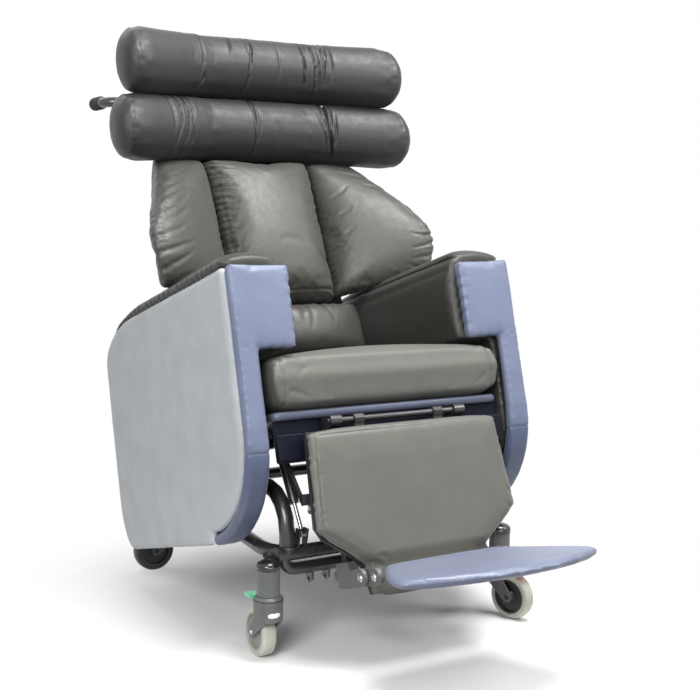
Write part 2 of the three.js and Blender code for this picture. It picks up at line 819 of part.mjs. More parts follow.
// Seat rails with ears for the legrest axle and the back axle
const seatRailBottom = seatRailTop - seatRailHeight;
const railOutline = new THREE.Shape();
railOutline.moveTo(seatRailFront, seatRailBottom);
railOutline.lineTo(backPivotY, seatRailBottom);
railOutline.lineTo(backPivotY + backAxleEar, backPivotZ);
railOutline.absarc(backPivotY, backPivotZ, backAxleEar, 0, Math.PI);
railOutline.lineTo(backPivotY - backAxleEar, seatRailTop);
railOutline.lineTo(seatRailFront, seatRailTop);
railOutline.lineTo(legrestAxleY, legrestAxleZ + legrestAxleEar - gap);
railOutline.absarc(legrestAxleY, legrestAxleZ, legrestAxleEar - gap, Math.PI / 2, Math.PI * 3 / 2);
const stopArm = () => {
  const half = stopArmWidth / 2;
  const outline = new THREE.Shape();
  outline.moveTo(stopArmTopY - half, seatRailTop - stopArmWidth);
  outline.lineTo(stopArmFootY - half, stopArmFootZ);
  outline.absarc(stopArmFootY, stopArmFootZ, half, Math.PI, 2 * Math.PI);
  outline.lineTo(stopArmTopY + half, seatRailTop - stopArmWidth);
  const block = box(
    stopArmX + stopArmThickness / 2 - stopBlockWidth, stopArmX + stopArmThickness / 2,
    stopArmFootY - stopBlockLength, stopArmFootY,
    stopArmFootZ - stopBlockHeight / 2, stopArmFootZ + stopBlockHeight / 2,
  );
  const foot = box(
    seatRailX, stopArmX + stopArmThickness / 2,
    stopArmTopY - half, stopArmTopY + half,
    seatRailTop - 2 * stopArmWidth, seatRailTop - stopArmWidth,
  );
  return join(slab(outline, stopArmX - stopArmThickness / 2, stopArmX + stopArmThickness / 2, 'x', 0, 1, 5), block, foot);
};
const strutHeadPin = axle(strutPinDiameter / 2, seatRailX, strutX + strutEyeWidth / 2, strutHeadY, strutHeadZ);
const seatRail = cut(
  join(slab(railOutline, seatRailInner, seatRailOuter, 'x', 0, 1, 8), stopArm(), strutHeadPin),
  axle(legrestAxleDiameter / 2 + gap, 0, armOuter, legrestAxleY, legrestAxleZ),
  axle(backAxleDiameter / 2 + gap, 0, armOuter, backPivotY, backPivotZ),
  axle(pivotPinDiameter / 2 + gap, 0, armOuter, 0, 0),
);
part('seat_rail_left', seatRail, framePaint, seatUnit);
part('seat_rail_right', mirrored(seatRail), framePaint, seatUnit);

const axleReach = seatRailOuter + runningGap;
part(
  'legrest_axle',
  axle(legrestAxleDiameter / 2, -axleReach, axleReach, legrestAxleY, legrestAxleZ),
  zincSteel,
  seatUnit,
);
part('back_axle', axle(backAxleDiameter / 2, -axleReach, axleReach, backPivotY, backPivotZ), zincSteel, seatUnit);

const strutLugHalf = legStrutDiameter / 2;
const strutCrossLug = (x) => slab(
  polygon(
    [strutCrossY - strutCrossDiameter / 2, seatRailTop - seatRailHeight / 2],
    [strutCrossY - strutCrossDiameter / 2, legStrutHeadZ - strutLugHalf],
    [strutCrossY + strutCrossDiameter / 2, legStrutHeadZ - strutLugHalf],
    [strutCrossY + strutCrossDiameter / 2, seatRailTop - seatRailHeight / 2],
  ),
  x - strutEarThickness / 2,
  x + strutEarThickness / 2,
  'x',
);
const crossLugX = strutEyeWidth / 2 + gap + strutEarThickness;
part(
  'seat_cross_tube',
  join(
    axle(
      strutCrossDiameter / 2, gap - seatRailInner, seatRailInner - gap,
      strutCrossY, seatRailTop - seatRailHeight / 2,
    ),
    strutCrossLug(crossLugX),
    strutCrossLug(-crossLugX),
  ),
  framePaint,
  seatUnit,
);

// Seat board with a padded nose, its cushion and the apron that hangs behind the legrest
const boardBottom = seatRailTop + gap;
const boardSideHalf = armPanelInner - gap;
const boardOutline = new THREE.Shape();
boardOutline.moveTo(-boardNoseHalf + boardCorner, boardFront);
boardOutline.lineTo(boardNoseHalf - boardCorner, boardFront);
boardOutline.quadraticCurveTo(boardNoseHalf, boardFront, boardNoseHalf, boardFront + boardCorner);
boardOutline.lineTo(boardNoseHalf, boardFront + boardNoseDepth);
boardOutline.lineTo(boardSideHalf, boardFront + boardNoseDepth + boardCorner);
boardOutline.lineTo(boardSideHalf, boardRear);
boardOutline.lineTo(-boardSideHalf, boardRear);
boardOutline.lineTo(-boardSideHalf, boardFront + boardNoseDepth + boardCorner);
boardOutline.lineTo(-boardNoseHalf, boardFront + boardNoseDepth);
boardOutline.lineTo(-boardNoseHalf, boardFront + boardCorner);
boardOutline.quadraticCurveTo(-boardNoseHalf, boardFront, -boardNoseHalf + boardCorner, boardFront);
part(
  'seat_board',
  slab(boardOutline, boardBottom, boardBottom + boardThickness, 'z', boardThickness / 3, 2, 5),
  blueVinyl,
  seatUnit,
);

const cushionBottom = boardBottom + boardThickness + gap;
const cushionMiddleY = (seatCushionFront + seatCushionRear) / 2;
const cushionHalfDepth = (seatCushionRear - seatCushionFront) / 2;
const cushionSeam = cushionBottom + seatCushionHeight / 2;
part(
  'seat_cushion',
  pillow({
    columns: 14,
    rows: 11,
    seam: (a, b) => point(
      a * (seatCushionHalf - seatCushionPull * (1 - b * b)),
      cushionMiddleY + b * (cushionHalfDepth - seatCushionPull / 2 * (1 - a * a)),
      cushionSeam,
    ),
    front: (a, b) => point(0, 0, seatCushionHeight / 2 - seatCushionCrown + seatCushionCrown * (1 - a * a) * (1 - b * b)),
    back: () => point(0, 0, -seatCushionHeight / 2),
    squareness: 16,
    softness: 4,
  }),
  charcoalVinyl,
  seatUnit,
);

const apronLine = new THREE.Shape();
const apronOuter = apronWidth / 2;
const apronInner = apronOuter - apronThickness;
const apronMiddle = apronRear - apronOuter;
const apronTop = boardBottom - gap;
const apronFrontTop = apronTop - apronDepth / 3;
const apronCentreZ = apronTop - apronDepth + apronOuter;
apronLine.moveTo(apronRear, apronTop);
apronLine.lineTo(apronRear - apronThickness, apronTop);
apronLine.lineTo(apronRear - apronThickness, apronCentreZ);
apronLine.absarc(apronMiddle, apronCentreZ, apronInner, 0, -Math.PI, true);
apronLine.lineTo(apronMiddle - apronInner, apronFrontTop);
apronLine.lineTo(apronMiddle - apronOuter, apronFrontTop);
apronLine.lineTo(apronMiddle - apronOuter, apronCentreZ);
apronLine.absarc(apronMiddle, apronCentreZ, apronOuter, -Math.PI, 0, false);
const railSlot = (side) => box(
  Math.min(side * (seatRailInner - runningGap), side * (seatRailOuter + runningGap)),
  Math.max(side * (seatRailInner - runningGap), side * (seatRailOuter + runningGap)),
  apronRear - apronWidth - gap, apronRear + gap,
  seatRailBottom - runningGap, seatRailTop + gap,
);
part(
  'seat_apron',
  cut(slab(apronLine, -apronHalf, apronHalf, 'x', 0, 1, 6), railSlot(-1), railSlot(1)),
  blueVinyl,
  seatUnit,
);

// Arms: a side panel, a front that wraps down under its lower curve, and a pad over top and inside
function armOutline(grow, fromFront) {
  const outline = new THREE.Shape();
  const centreY = armFrontY + armFrontRadius;
  const centreZ = armBottom + armFrontRadius;
  const radius = armFrontRadius - fromFront;
  const corner = armTopCorner + grow;
  outline.moveTo(armFrontY + fromFront, centreZ);
  outline.absarc(centreY, centreZ, radius, Math.PI, Math.PI * 3 / 2, false);
  if (fromFront > 0) outline.lineTo(centreY, armBottom);
  outline.lineTo(armRearFoot, armBottom);
  outline.absellipse(
    armRearFoot, armRearFootTop, armRear - armRearFoot, armRearFootTop - armBottom, -Math.PI / 2, 0, false,
  );
  outline.lineTo(armRear, armRearTop);
  outline.absellipse(
    armTopRear, armRearTop, armRear - armTopRear, armTop + grow - armRearTop, 0, Math.PI / 2, false,
  );
  outline.lineTo(armFrontY + fromFront + corner, armTop + grow);
  outline.absarc(armFrontY + fromFront + corner, armTop + grow - corner, corner, Math.PI / 2, Math.PI, false);
  return outline;
}

const panelInset = armFrontThickness + gap;
const sidePanel = slab(armOutline(0, panelInset), armOuter - panelThickness, armOuter, 'x', armEdge, 1, 5);

const bandOutline = new THREE.Shape();
const bandCentreY = armFrontY + armFrontRadius;
const bandCentreZ = armBottom + armFrontRadius;
bandOutline.moveTo(armFrontY, bandCentreZ);
const bandEnd = Math.PI * 3 / 2 - 2 * gap / (armFrontRadius - armFrontThickness);
bandOutline.absarc(bandCentreY, bandCentreZ, armFrontRadius, Math.PI, bandEnd, false);
bandOutline.absarc(bandCentreY, bandCentreZ, armFrontRadius - armFrontThickness, bandEnd, Math.PI, true);
bandOutline.lineTo(armFrontY + armFrontThickness, armTop);
bandOutline.lineTo(armFrontY, armTop);
const headOutline = polygon(
  [armPadInner, armPadBottom],
  [armOuter - armEdge, armPadBottom],
  [armOuter - armEdge, armTop],
  [armPadInner, armTop],
);
const armFront = join(
  slab(bandOutline, armPanelInner, armOuter, 'x', armEdge, 1, 5),
  slab(headOutline, armFrontY, armFrontY + armFrontThickness, 'y', armEdge / 2, 1, 4),
);

const padFull = slab(armOutline(armPadCrown, panelInset), armPadInner, armOuter - gap, 'x', armPadEdge, 1, 5);
const panelRoom = slab(
  armOutline(gap, panelInset - overrun), armOuter - panelThickness - gap, armOuter + overrun, 'x', 0, 1, 5,
);
const underArm = box(
  armPadInner - overrun, armPanelInner,
  armFrontY - overrun, armRear + overrun,
  armBottom - overrun, armPadBottom,
);
const armPad = cut(padFull, panelRoom, underArm);

for (const [side, shape] of [['left', (geometry) => geometry], ['right', mirrored]]) {
  part(`side_panel_${side}`, shape(sidePanel), paleBlueVinyl, seatUnit);
  part(`arm_front_${side}`, shape(armFront), blueVinyl, seatUnit);
  part(`arm_pad_${side}`, shape(armPad), blackVinyl, seatUnit);
}

// Back shell, bent forward behind the head rolls and narrow between the arms
const shellBack = shellFront + shellThickness;
const shellSide = polygon(
  [shellFront, shellBottom],
  [shellBack, shellBottom],
  [shellBack, shellBendAt],
  [shellBack - shellLean, shellTop],
  [shellFront - shellLean, shellTop],
  [shellFront, shellBendAt],
);
const shellFace = new THREE.Shape();
shellFace.moveTo(-shellLowerHalf, shellBottom);
shellFace.lineTo(shellLowerHalf, shellBottom);
shellFace.lineTo(shellLowerHalf, shellWideFrom - shellFlare / 3);
shellFace.quadraticCurveTo(shellLowerHalf, shellWideFrom, shellUpperHalf - shellFlare / 4, shellWideFrom);
shellFace.quadraticCurveTo(shellUpperHalf, shellWideFrom, shellUpperHalf, shellWideFrom + shellFlare / 2);
shellFace.lineTo(shellUpperHalf, shellWideTo);
shellFace.quadraticCurveTo(shellHeadHalf, shellWideTo + shellFlare / 2, shellHeadHalf, shellWideTo + shellFlare);
shellFace.lineTo(shellHeadHalf, shellTop - shellFlare);
shellFace.quadraticCurveTo(shellHeadHalf, shellTop, shellHeadHalf - shellFlare, shellTop);
shellFace.lineTo(-shellHeadHalf + shellFlare, shellTop);
shellFace.quadraticCurveTo(-shellHeadHalf, shellTop, -shellHeadHalf, shellTop - shellFlare);
shellFace.lineTo(-shellHeadHalf, shellWideTo + shellFlare);
shellFace.quadraticCurveTo(-shellHeadHalf, shellWideTo + shellFlare / 2, -shellUpperHalf, shellWideTo);
shellFace.lineTo(-shellUpperHalf, shellWideFrom + shellFlare / 2);
shellFace.quadraticCurveTo(-shellUpperHalf, shellWideFrom, -shellUpperHalf + shellFlare / 4, shellWideFrom);
shellFace.quadraticCurveTo(-shellLowerHalf, shellWideFrom, -shellLowerHalf, shellWideFrom - shellFlare / 3);
part(
  'back_shell',
  common(
    slab(shellSide, -shellUpperHalf - overrun, shellUpperHalf + overrun, 'x'),
    slab(shellFace, shellFront - shellLean - overrun, shellBack + overrun, 'y', 0, 1, 6),
  ),
  blackPlastic,
  backUnit,
);

// Bent uprights behind the shell, each ending in a push handle with a rubber grip
const uprightRadius = uprightDiameter / 2;
const uprightY = shellBack + gap + uprightRadius;
const uprightBendAt = shellBendAt + uprightBendLift;
const uprightTopY = uprightY - shellLean * (uprightTop - uprightBendAt) / (shellTop - shellBendAt);
const level = radians(tiltAngle + reclineAngle);
const handleTurn = point(handleX, uprightTopY, uprightTop);
const handleWay = point(0, Math.cos(level), Math.sin(level));
const handleEnd = handleTurn.clone().addScaledVector(handleWay, handleLength + uprightBend);
const uprightFoot = backPivotZ / 2;
const backLugX = seatRailInner - runningGap - backLugThickness;
const backLug = slab(
  polygon(
    [uprightY - uprightRadius / 2, uprightFoot * 3],
    [-backAxleEar, -backAxleEar * backEarShares.wide],
    [backAxleEar * backEarShares.narrow, -backAxleEar],
    [backAxleEar, 0],
    [backAxleEar * backEarShares.wide, backAxleEar],
    [uprightY + uprightRadius / 2, uprightFoot * 4],
  ),
  uprightX,
  backLugX + backLugThickness,
  'x',
);
const upright = cut(
  join(
    tube(
      [
        point(uprightX, uprightY, uprightFoot + backAxleDiameter),
        point(uprightX, uprightY, uprightBendAt),
        point(uprightX, uprightTopY, uprightTop),
        handleTurn,
        handleEnd,
      ],
      uprightBend,
      uprightRadius,
    ),
    backLug,
  ),
  axle(backAxleDiameter / 2 + gap, 0, armOuter, 0, 0),
);
const gripRadius = gripDiameter / 2;
const gripStart = handleEnd.clone().addScaledVector(handleWay, -gripLength);
const gripStop = handleEnd.clone().addScaledVector(handleWay, gripEnd);
const grip = cut(
  rod(gripRadius, gripStart, gripStop, 20),
  rod(uprightRadius + gap, gripStart.clone().addScaledVector(handleWay, -overrun), handleEnd.clone()
    .addScaledVector(handleWay, gap), 20),
);
part('back_upright_left', upright, framePaint, backUnit);
part('back_upright_right', mirrored(upright), framePaint, backUnit);
part('push_grip_left', grip, blackPlastic, backUnit);
part('push_grip_right', mirrored(grip), blackPlastic, backUnit);

// Back cushions: a centre panel with a wing on each side, and a lumbar roll below
const padFront = seamPlane;
const padMiddle = seamPlane + backPadDepth / 2;
const centreHalf = (b) => lerp(centreHalfBottom, centreHalfTop, (b + 1) / 2) - gap;
part(
  'back_cushion_centre',
  pillow({
    columns: 12,
    rows: 11,
    seam: (a, b) => point(a * centreHalf(b), padMiddle, lerp(centreBottom, centreTop, (b + 1) / 2)),
    front: (a, b) => point(0, padFront - padMiddle - backCrown * (1 - a * a) * (1 - b * b), 0),
    back: () => point(0, shellFront - gap - padMiddle, 0),
    squareness: 8,
  }),
  charcoalVinyl,
  backUnit,
);

const wingEdge = new THREE.CatmullRomCurve3([
  point(wingFootX, wingFootReach + wingRise, wingBottom),
  point(wingTipX, wingTipReach + wingRise, lerp(wingBottom, wingTipZ, 1 / 2)),
  point(wingTipX, wingTipReach + wingRise, wingTipZ),
  point(wingTopX, wingTopReach + wingRise, centreTop),
]);
const wing = pillow({
  columns: 12,
  rows: 12,
  seam: (a, b) => {
    const up = (b + 1) / 2;
    const outer = wingEdge.getPoint(up);
    const inner = point(centreHalf(b) + 2 * gap, padMiddle, lerp(wingBottom, centreTop, up));
    return inner.lerp(outer, (a + 1) / 2);
  },
  front: (a, b) => point(0, -lerp(padMiddle - padFront, wingRise, (a + 1) / 2) - backCrown * (1 - a * a) * (1 - b * b) / 2, 0),
  back: (a) => point(0, lerp(wingPadCentre, wingDrop, (a + 1) / 2), 0),
  squareness: 6,
});
part('wing_cushion_left', wing, charcoalVinyl, backUnit);
part('wing_cushion_right', mirrored(wing), charcoalVinyl, backUnit);

const lumbarFallShare = 0.3;
const lumbarMiddle = (lumbarReach + shellFront) / 2;
part(
  'lumbar_cushion',
  pillow({
    columns: 12,
    rows: 7,
    seam: (a, b) => point(a * lumbarHalf, lumbarMiddle, lerp(lumbarBottom, lumbarTop, (b + 1) / 2)),
    front: (a, b) => point(0, (lumbarReach - lumbarMiddle) * (1 - lumbarFallShare * a * a), 0),
    back: () => point(0, shellFront - gap - lumbarMiddle, 0),
    squareness: 4,
    softness: 2,
  }),
  charcoalVinyl,
  backUnit,
);

// Head rolls: straight in the middle, swept forward at both ends, round at the ends
function headRoll(half, middleY, middleZ) {
  const ringSides = 12;
  const alongSteps = 18;
  const rollEndShare = 0.35;
  const rings = [];
  for (let i = 0; i <= alongSteps; i += 1) {
    const across = Math.sin(Math.PI * (i / alongSteps - 1 / 2));
    const x = across * half;
    const bend = Math.max(0, (Math.abs(x) - rollStraightHalf) / (half - rollStraightHalf));
    const fromEnd = half - Math.abs(x);
    const round = fromEnd < rollEndRound ? Math.sqrt(1 - (1 - fromEnd / rollEndRound) ** 2) : 1;
    const centre = point(x, middleY - rollSweep * bend, middleZ - rollDrop * bend);
    rings.push({ centre, round: rollEndShare + (1 - rollEndShare) * round, isEnd: i === 0 || i === alongSteps });
  }
  const places = [];
  const faces = [];
  rings.forEach(({ centre, round }) => {
    for (let k = 0; k < ringSides; k += 1) {
      const angle = 2 * Math.PI * k / ringSides;
      places.push(
        centre.x,
        centre.y + headRollDepth / 2 * round * Math.cos(angle),
        centre.z + headRollHeight / 2 * round * Math.sin(angle),
      );
    }
  });
  for (let i = 0; i < alongSteps; i += 1) {
    for (let k = 0; k < ringSides; k += 1) {
      const next = (k + 1) % ringSides;
      const [p, q] = [i * ringSides + k, i * ringSides + next];
      const [r, s] = [p + ringSides, q + ringSides];
      faces.push(p, q, s, p, s, r);
    }
  }
  for (let k = 1; k < ringSides - 1; k += 1) {
    const last = alongSteps * ringSides;
    faces.push(0, k + 1, k, last, last + k, last + k + 1);
  }
  const geometry = new THREE.BufferGeometry();
  geometry.setAttribute('position', new THREE.Float32BufferAttribute(places, 3));
  geometry.setIndex(faces);
  return geometry;
}
part('head_roll_lower', headRoll(lowerRollHalf, lowerRollY, lowerRollZ), charcoalVinyl, backUnit);
part('head_roll_upper', headRoll(upperRollHalf, upperRollY, upperRollZ), charcoalVinyl, backUnit);

// Legrest: a padded board that narrows to a neck, with knuckles on the front axle
function legrestHalf(z) {
  const between = (z - legrestNeckAt) / (legrestWideAt - legrestNeckAt);
  const upper = lerp(legrestWideHalf, legrestTopHalf, (z - legrestWideAt) / (legrestPadTop - legrestWideAt));
  const lower = lerp(legrestNeckHalf, legrestFootHalf, (z - legrestNeckAt) / (legrestPadBottom - legrestNeckAt));
  if (z >= legrestWideAt) return upper;
  return z <= legrestNeckAt ? lower : lerp(legrestNeckHalf, legrestWideHalf, between);
}
const legPadMiddle = (legrestPadFront + legrestPadBack) / 2;
part(
  'legrest_pad',
  pillow({
    columns: 8,
    rows: 18,
    seam: (a, b) => {
      const z = lerp(legrestPadBottom, legrestPadTop, (b * (1 - legrestRounding * a ** 8) + 1) / 2);
      return point(a * legrestHalf(z), legPadMiddle, z);
    },
    front: (a, b) => {
      const z = lerp(legrestPadBottom, legrestPadTop, (b + 1) / 2);
      const recess = legrestRecess * (1 - THREE.MathUtils.smoothstep(z, legrestNeckAt - legrestRecess, legrestNeckAt));
      return point(0, legrestPadFront - legPadMiddle - legrestCrown * (1 - a * a) + recess, 0);
    },
    back: () => point(0, legrestPadBack - legPadMiddle, 0),
    squareness: 14,
  }),
  charcoalVinyl,
  legrestUnit,
);

const boardSteps = 14;
const legBoardTop = legrestPadTop - legrestAxleDiameter / 2;
const legBoardBottom = legrestPadBottom + legrestBoardInset;
const legBoardSide = Array.from({ length: boardSteps + 1 }, (_, i) => {
  const z = lerp(legBoardTop, legBoardBottom, i / boardSteps);
  return [legrestHalf(z) - legrestBoardInset, z];
});
const legBoardFront = legrestPadBack + gap;
const legBoardBack = legBoardFront + legrestBoardThickness;
const legBoardOutline = polygon(...legBoardSide, ...legBoardSide.map(([x, z]) => [-x, z]).reverse());
const kneeLug = (x) => slab(
  polygon(
    [legBoardFront, legBoardTop - legrestAxleEar],
    [legBoardBack, legBoardTop - legrestAxleEar],
    [legrestAxleEar * kneeEarShares.wide, 0],
    [legrestAxleEar * kneeEarShares.narrow, legrestAxleEar * kneeEarShares.high],
    [-legrestAxleEar * kneeEarShares.narrow, legrestAxleEar * kneeEarShares.high],
    [-legrestAxleEar * kneeEarShares.wide, 0],
    [-legrestAxleEar * kneeEarShares.low, legrestPadTop + runningGap],
    [legBoardFront, legrestPadTop + runningGap],
  ),
  x - legrestLugWidth / 2,
  x + legrestLugWidth / 2,
  'x',
);
const stemBlock = (side) => box(
  Math.min(side * (legrestStemX - legrestStemWidth / 2), side * (legrestStemX + legrestStemWidth / 2)),
  Math.max(side * (legrestStemX - legrestStemWidth / 2), side * (legrestStemX + legrestStemWidth / 2)),
  legBoardFront + gap, legrestStemFront + legrestStemDepth,
  legrestStemTop - legrestStemDepth, legrestStemTop,
);
const stemBar = (side) => box(
  side * legrestStemX - legrestStemWidth / 2, side * legrestStemX + legrestStemWidth / 2,
  legrestStemFront, legrestStemFront + legrestStemDepth,
  legrestStemBottom, legrestStemTop,
);
const strutFootLug = (x) => slab(
  polygon(
    [legBoardFront + gap, legStrutFootZ + strutEyeDiameter],
    [legBoardFront + gap, legStrutFootZ - strutEyeDiameter],
    [legStrutFootY + strutEyeDiameter / 2, legStrutFootZ - strutEyeDiameter / 2],
    [legStrutFootY + strutEyeDiameter / 2, legStrutFootZ + strutEyeDiameter / 2],
  ),
  x - strutEarThickness / 2,
  x + strutEarThickness / 2,
  'x',
);
const footLugX = strutEyeWidth / 2 + gap + strutEarThickness / 2;
part(
  'legrest_board',
  cut(
    join(
      slab(legBoardOutline, legBoardFront, legBoardBack, 'y'),
      ...[-1, 1].flatMap((side) => [kneeLug(side * legrestLugX), stemBlock(side), stemBar(side)]),
      strutFootLug(footLugX),
      strutFootLug(-footLugX),
      axle(strutPinDiameter / 2, -footLugX, footLugX, legStrutFootY, legStrutFootZ, smallSides),
    ),
    axle(legrestAxleDiameter / 2 + gap, -armOuter, armOuter, 0, 0),
  ),
  blackPlastic,
  legrestUnit,
);

// Footplate carriers: a clamp block on each stem, an arm to the hinge and a knob behind
const carrier = () => {
  const inner = legrestStemX - carrierWidth / 2;
  const outer = legrestStemX + carrierWidth / 2;
  const blockOutline = new THREE.Shape();
  const armHalf = carrierArmHeight / 2;
  blockOutline.moveTo(carrierRear, carrierBottom);
  blockOutline.lineTo(carrierRear, carrierTop);
  blockOutline.lineTo(carrierFront, carrierTop);
  blockOutline.lineTo(carrierFront - carrierArmHeight / 4, armBoltZ + armHalf);
  blockOutline.lineTo(armBoltY, armBoltZ + armHalf);
  blockOutline.absarc(armBoltY, armBoltZ, armHalf, Math.PI / 2, Math.PI * 3 / 2, false);
  blockOutline.lineTo(carrierFront, armBoltZ - armHalf);
  const armRoom = box(
    inner - overrun, outer - carrierArmThickness,
    armBoltY - carrierArmHeight, carrierFront,
    carrierBottom - overrun, carrierTop + overrun,
  );
  const stemRoom = box(
    legrestStemX - legrestStemWidth / 2 - gap, legrestStemX + legrestStemWidth / 2 + gap,
    legrestStemFront - gap, legrestStemFront + legrestStemDepth + gap,
    carrierBottom - overrun, carrierTop + overrun,
  );
  const knobZ = (carrierTop + carrierBottom) / 2;
  const knob = rod(
    knobDiameter / 2,
    point(legrestStemX, carrierRear + knobLength * knobSinkShare, knobZ),
    point(legrestStemX, carrierRear + knobLength, knobZ),
    smallSides,
  );
  const knobStem = rod(
    knobDiameter / 4, point(legrestStemX, carrierRear - gap, knobZ),
    point(legrestStemX, carrierRear + knobLength / 2, knobZ), smallSides,
  );
  const link = new THREE.Shape();
  link.moveTo(armBoltY, armBoltZ - armHalf);
  link.absarc(armBoltY, armBoltZ, armHalf - gap, -Math.PI / 2, Math.PI / 2, false);
  link.lineTo(hingeY, hingeZ + armHalf - gap);
  link.absarc(hingeY, hingeZ, armHalf - gap, Math.PI / 2, Math.PI * 3 / 2, false);
  const linkInner = linkPlateX - linkPlateThickness / 2;
  const linkOuter = linkPlateX + linkPlateThickness / 2;
  return join(
    cut(slab(blockOutline, inner, outer, 'x', 0, 1, 4), armRoom, stemRoom),
    knob,
    knobStem,
    slab(link, linkInner, linkOuter, 'x', 0, 1, 5),
    axle(hingePinDiameter / 2, linkInner, outer, armBoltY, armBoltZ, smallSides),
    axle(hingePinDiameter / 2, footArmX - footArmThickness, linkOuter, hingeY, hingeZ, smallSides),
  );
};
const carrierBridge = box(
  -legrestStemX, legrestStemX,
  carrierRear - carrierWidth / 2, carrierRear,
  hingeZ - carrierWidth / 4, hingeZ + carrierWidth / 4,
);
part('footplate_carrier', join(carrier(), mirrored(carrier()), carrierBridge), castorPlastic, legrestUnit);

// Footplate: a padded plate on a bracket with two hinge arms
const footArm = () => {
  const half = footArmHeight / 2;
  const outline = new THREE.Shape();
  outline.moveTo(0, half);
  outline.lineTo(-footplateBack, footplateRise);
  outline.lineTo(-footArmLength, footplateRise);
  outline.lineTo(-footArmLength, footplateRise - footplateBase);
  outline.lineTo(0, -half);
  outline.absarc(0, 0, half, -Math.PI / 2, Math.PI / 2, false);
  return slab(outline, footArmX - footArmThickness / 2, footArmX + footArmThickness / 2, 'x', 0, 1, 5);
};
const footBaseTop = footplateRise;
part(
  'footplate_bracket',
  cut(
    join(
      footArm(),
      mirrored(footArm()),
      box(
        -footArmX - footArmThickness / 2, footArmX + footArmThickness / 2,
        footplateBack - footplateDepth / 2, footplateBack - footArmLength / 2,
        footBaseTop - footplateBase, footBaseTop,
      ),
    ),
    axle(hingePinDiameter / 2 + gap, -armOuter, armOuter, 0, 0, smallSides),
  ),
  castorPlastic,
  footplateUnit,
);
const footHalf = (b) => {
  const forward = (1 - b) / 2;
  const rounded = 1 - footplateRounding * b ** 6;
  return lerp(footplateBackHalf, footplateFrontHalf, Math.sin(forward * Math.PI / 2)) * rounded;
};
const footMiddleZ = footBaseTop + gap + footplateThickness / 2;
part(
  'footplate_pad',
  pillow({
    columns: 10,
    rows: 8,
    seam: (a, b) => point(
      a * footHalf(b),
      footplateBack - footplateDepth * (1 - b) / 2 * (1 - footplateCurve * a * a * (1 - b) / 2),
      footMiddleZ,
    ),
    front: () => point(0, 0, footplateThickness / 2),
    back: () => point(0, 0, -footplateThickness / 2),
    squareness: 12,
  }),
  blueVinyl,
  footplateUnit,
);

// Gas struts: a cylinder hung from one pivot and a rod that slides out of it
function strutParts(diameter, rodDiameter, tubeLength, fullLength, insert) {
  const eye = (z) => axle(strutEyeDiameter / 2, -strutEyeWidth / 2, strutEyeWidth / 2, 0, z, smallSides);
  const eyeBore = (z) => axle(strutPinDiameter / 2 + gap, -strutEyeWidth, strutEyeWidth, 0, z, smallSides);
  const bodyTop = -strutEyeDiameter;
  const neck = strutEyeWidth / 2 - gap;
  const cylinder = cut(
    join(eye(0), turned([
      [0, -tubeLength], [diameter / 2, -tubeLength], [diameter / 2, bodyTop],
      [neck, bodyTop + neck], [neck, 0], [0, 0],
    ], 16)),
    turned([
      [0, -tubeLength - overrun], [rodDiameter / 2 + gap, -tubeLength - overrun],
      [rodDiameter / 2 + gap, bodyTop - neck], [0, bodyTop - neck],
    ], smallSides),
    eyeBore(0),
  );
  const slider = join(
    eye(-fullLength),
    rod(rodDiameter / 2, point(0, 0, -fullLength), point(0, 0, insert - tubeLength), smallSides),
  );
  return [cylinder, slider];
}

const tiltTurn = -radians(tiltAngle);
const headWorld = point(0, strutHeadY, strutHeadZ).applyAxisAngle(point(1, 0, 0), tiltTurn).add(point(0, pivotY, pivotZ));
const strutReach = Math.hypot(strutFootY - headWorld.y, strutFootZ - headWorld.z);
const strutLean = Math.atan2(headWorld.y - strutFootY, headWorld.z - strutFootZ);
const [tiltCylinder, tiltRod] = strutParts(strutDiameter, strutRodDiameter, strutTubeLength, strutReach, strutInsert);
for (const [side, way] of [['left', 1], ['right', -1]]) {
  const strut = new THREE.Group();
  strut.position.set(way * strutX, strutHeadY, strutHeadZ);
  strut.rotation.x = radians(tiltAngle) - strutLean;
  seatUnit.add(strut);
  part(`tilt_strut_cylinder_${side}`, tiltCylinder, blackPlastic, strut);
  part(`tilt_strut_rod_${side}`, tiltRod, zincSteel, strut);
}

const footInSeat = point(0, legStrutFootY, legStrutFootZ).applyAxisAngle(point(1, 0, 0), -radians(legrestAngle))
  .add(point(0, legrestAxleY, legrestAxleZ));
const legReach = Math.hypot(legStrutHeadY - footInSeat.y, legStrutHeadZ - footInSeat.z);
const legLean = Math.atan2(legStrutHeadY - footInSeat.y, legStrutHeadZ - footInSeat.z);
const [legCylinder, legRod] = strutParts(
  legStrutDiameter, strutRodDiameter, legStrutTubeLength, legReach, legStrutInsert,
);
const legStrut = new THREE.Group();
legStrut.position.set(0, legStrutFootY, legStrutFootZ);
legStrut.rotation.x = radians(legrestAngle) - legLean + Math.PI;
legrestUnit.add(legStrut);
part('legrest_strut_cylinder', legCylinder, blackPlastic, legStrut);
part('legrest_strut_rod', legRod, zincSteel, legStrut);

// Origin on the floor at the middle of the footprint
chair.updateMatrixWorld(true);
const footprint = new THREE.Box3().setFromObject(chair, true);
chair.position.y = -(footprint.min.y + footprint.max.y) / 2;

export default chair;
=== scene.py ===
import json
import math

import bmesh
import bpy
import numpy as np
from mathutils import Matrix, Vector
from mathutils.bvhtree import BVHTree


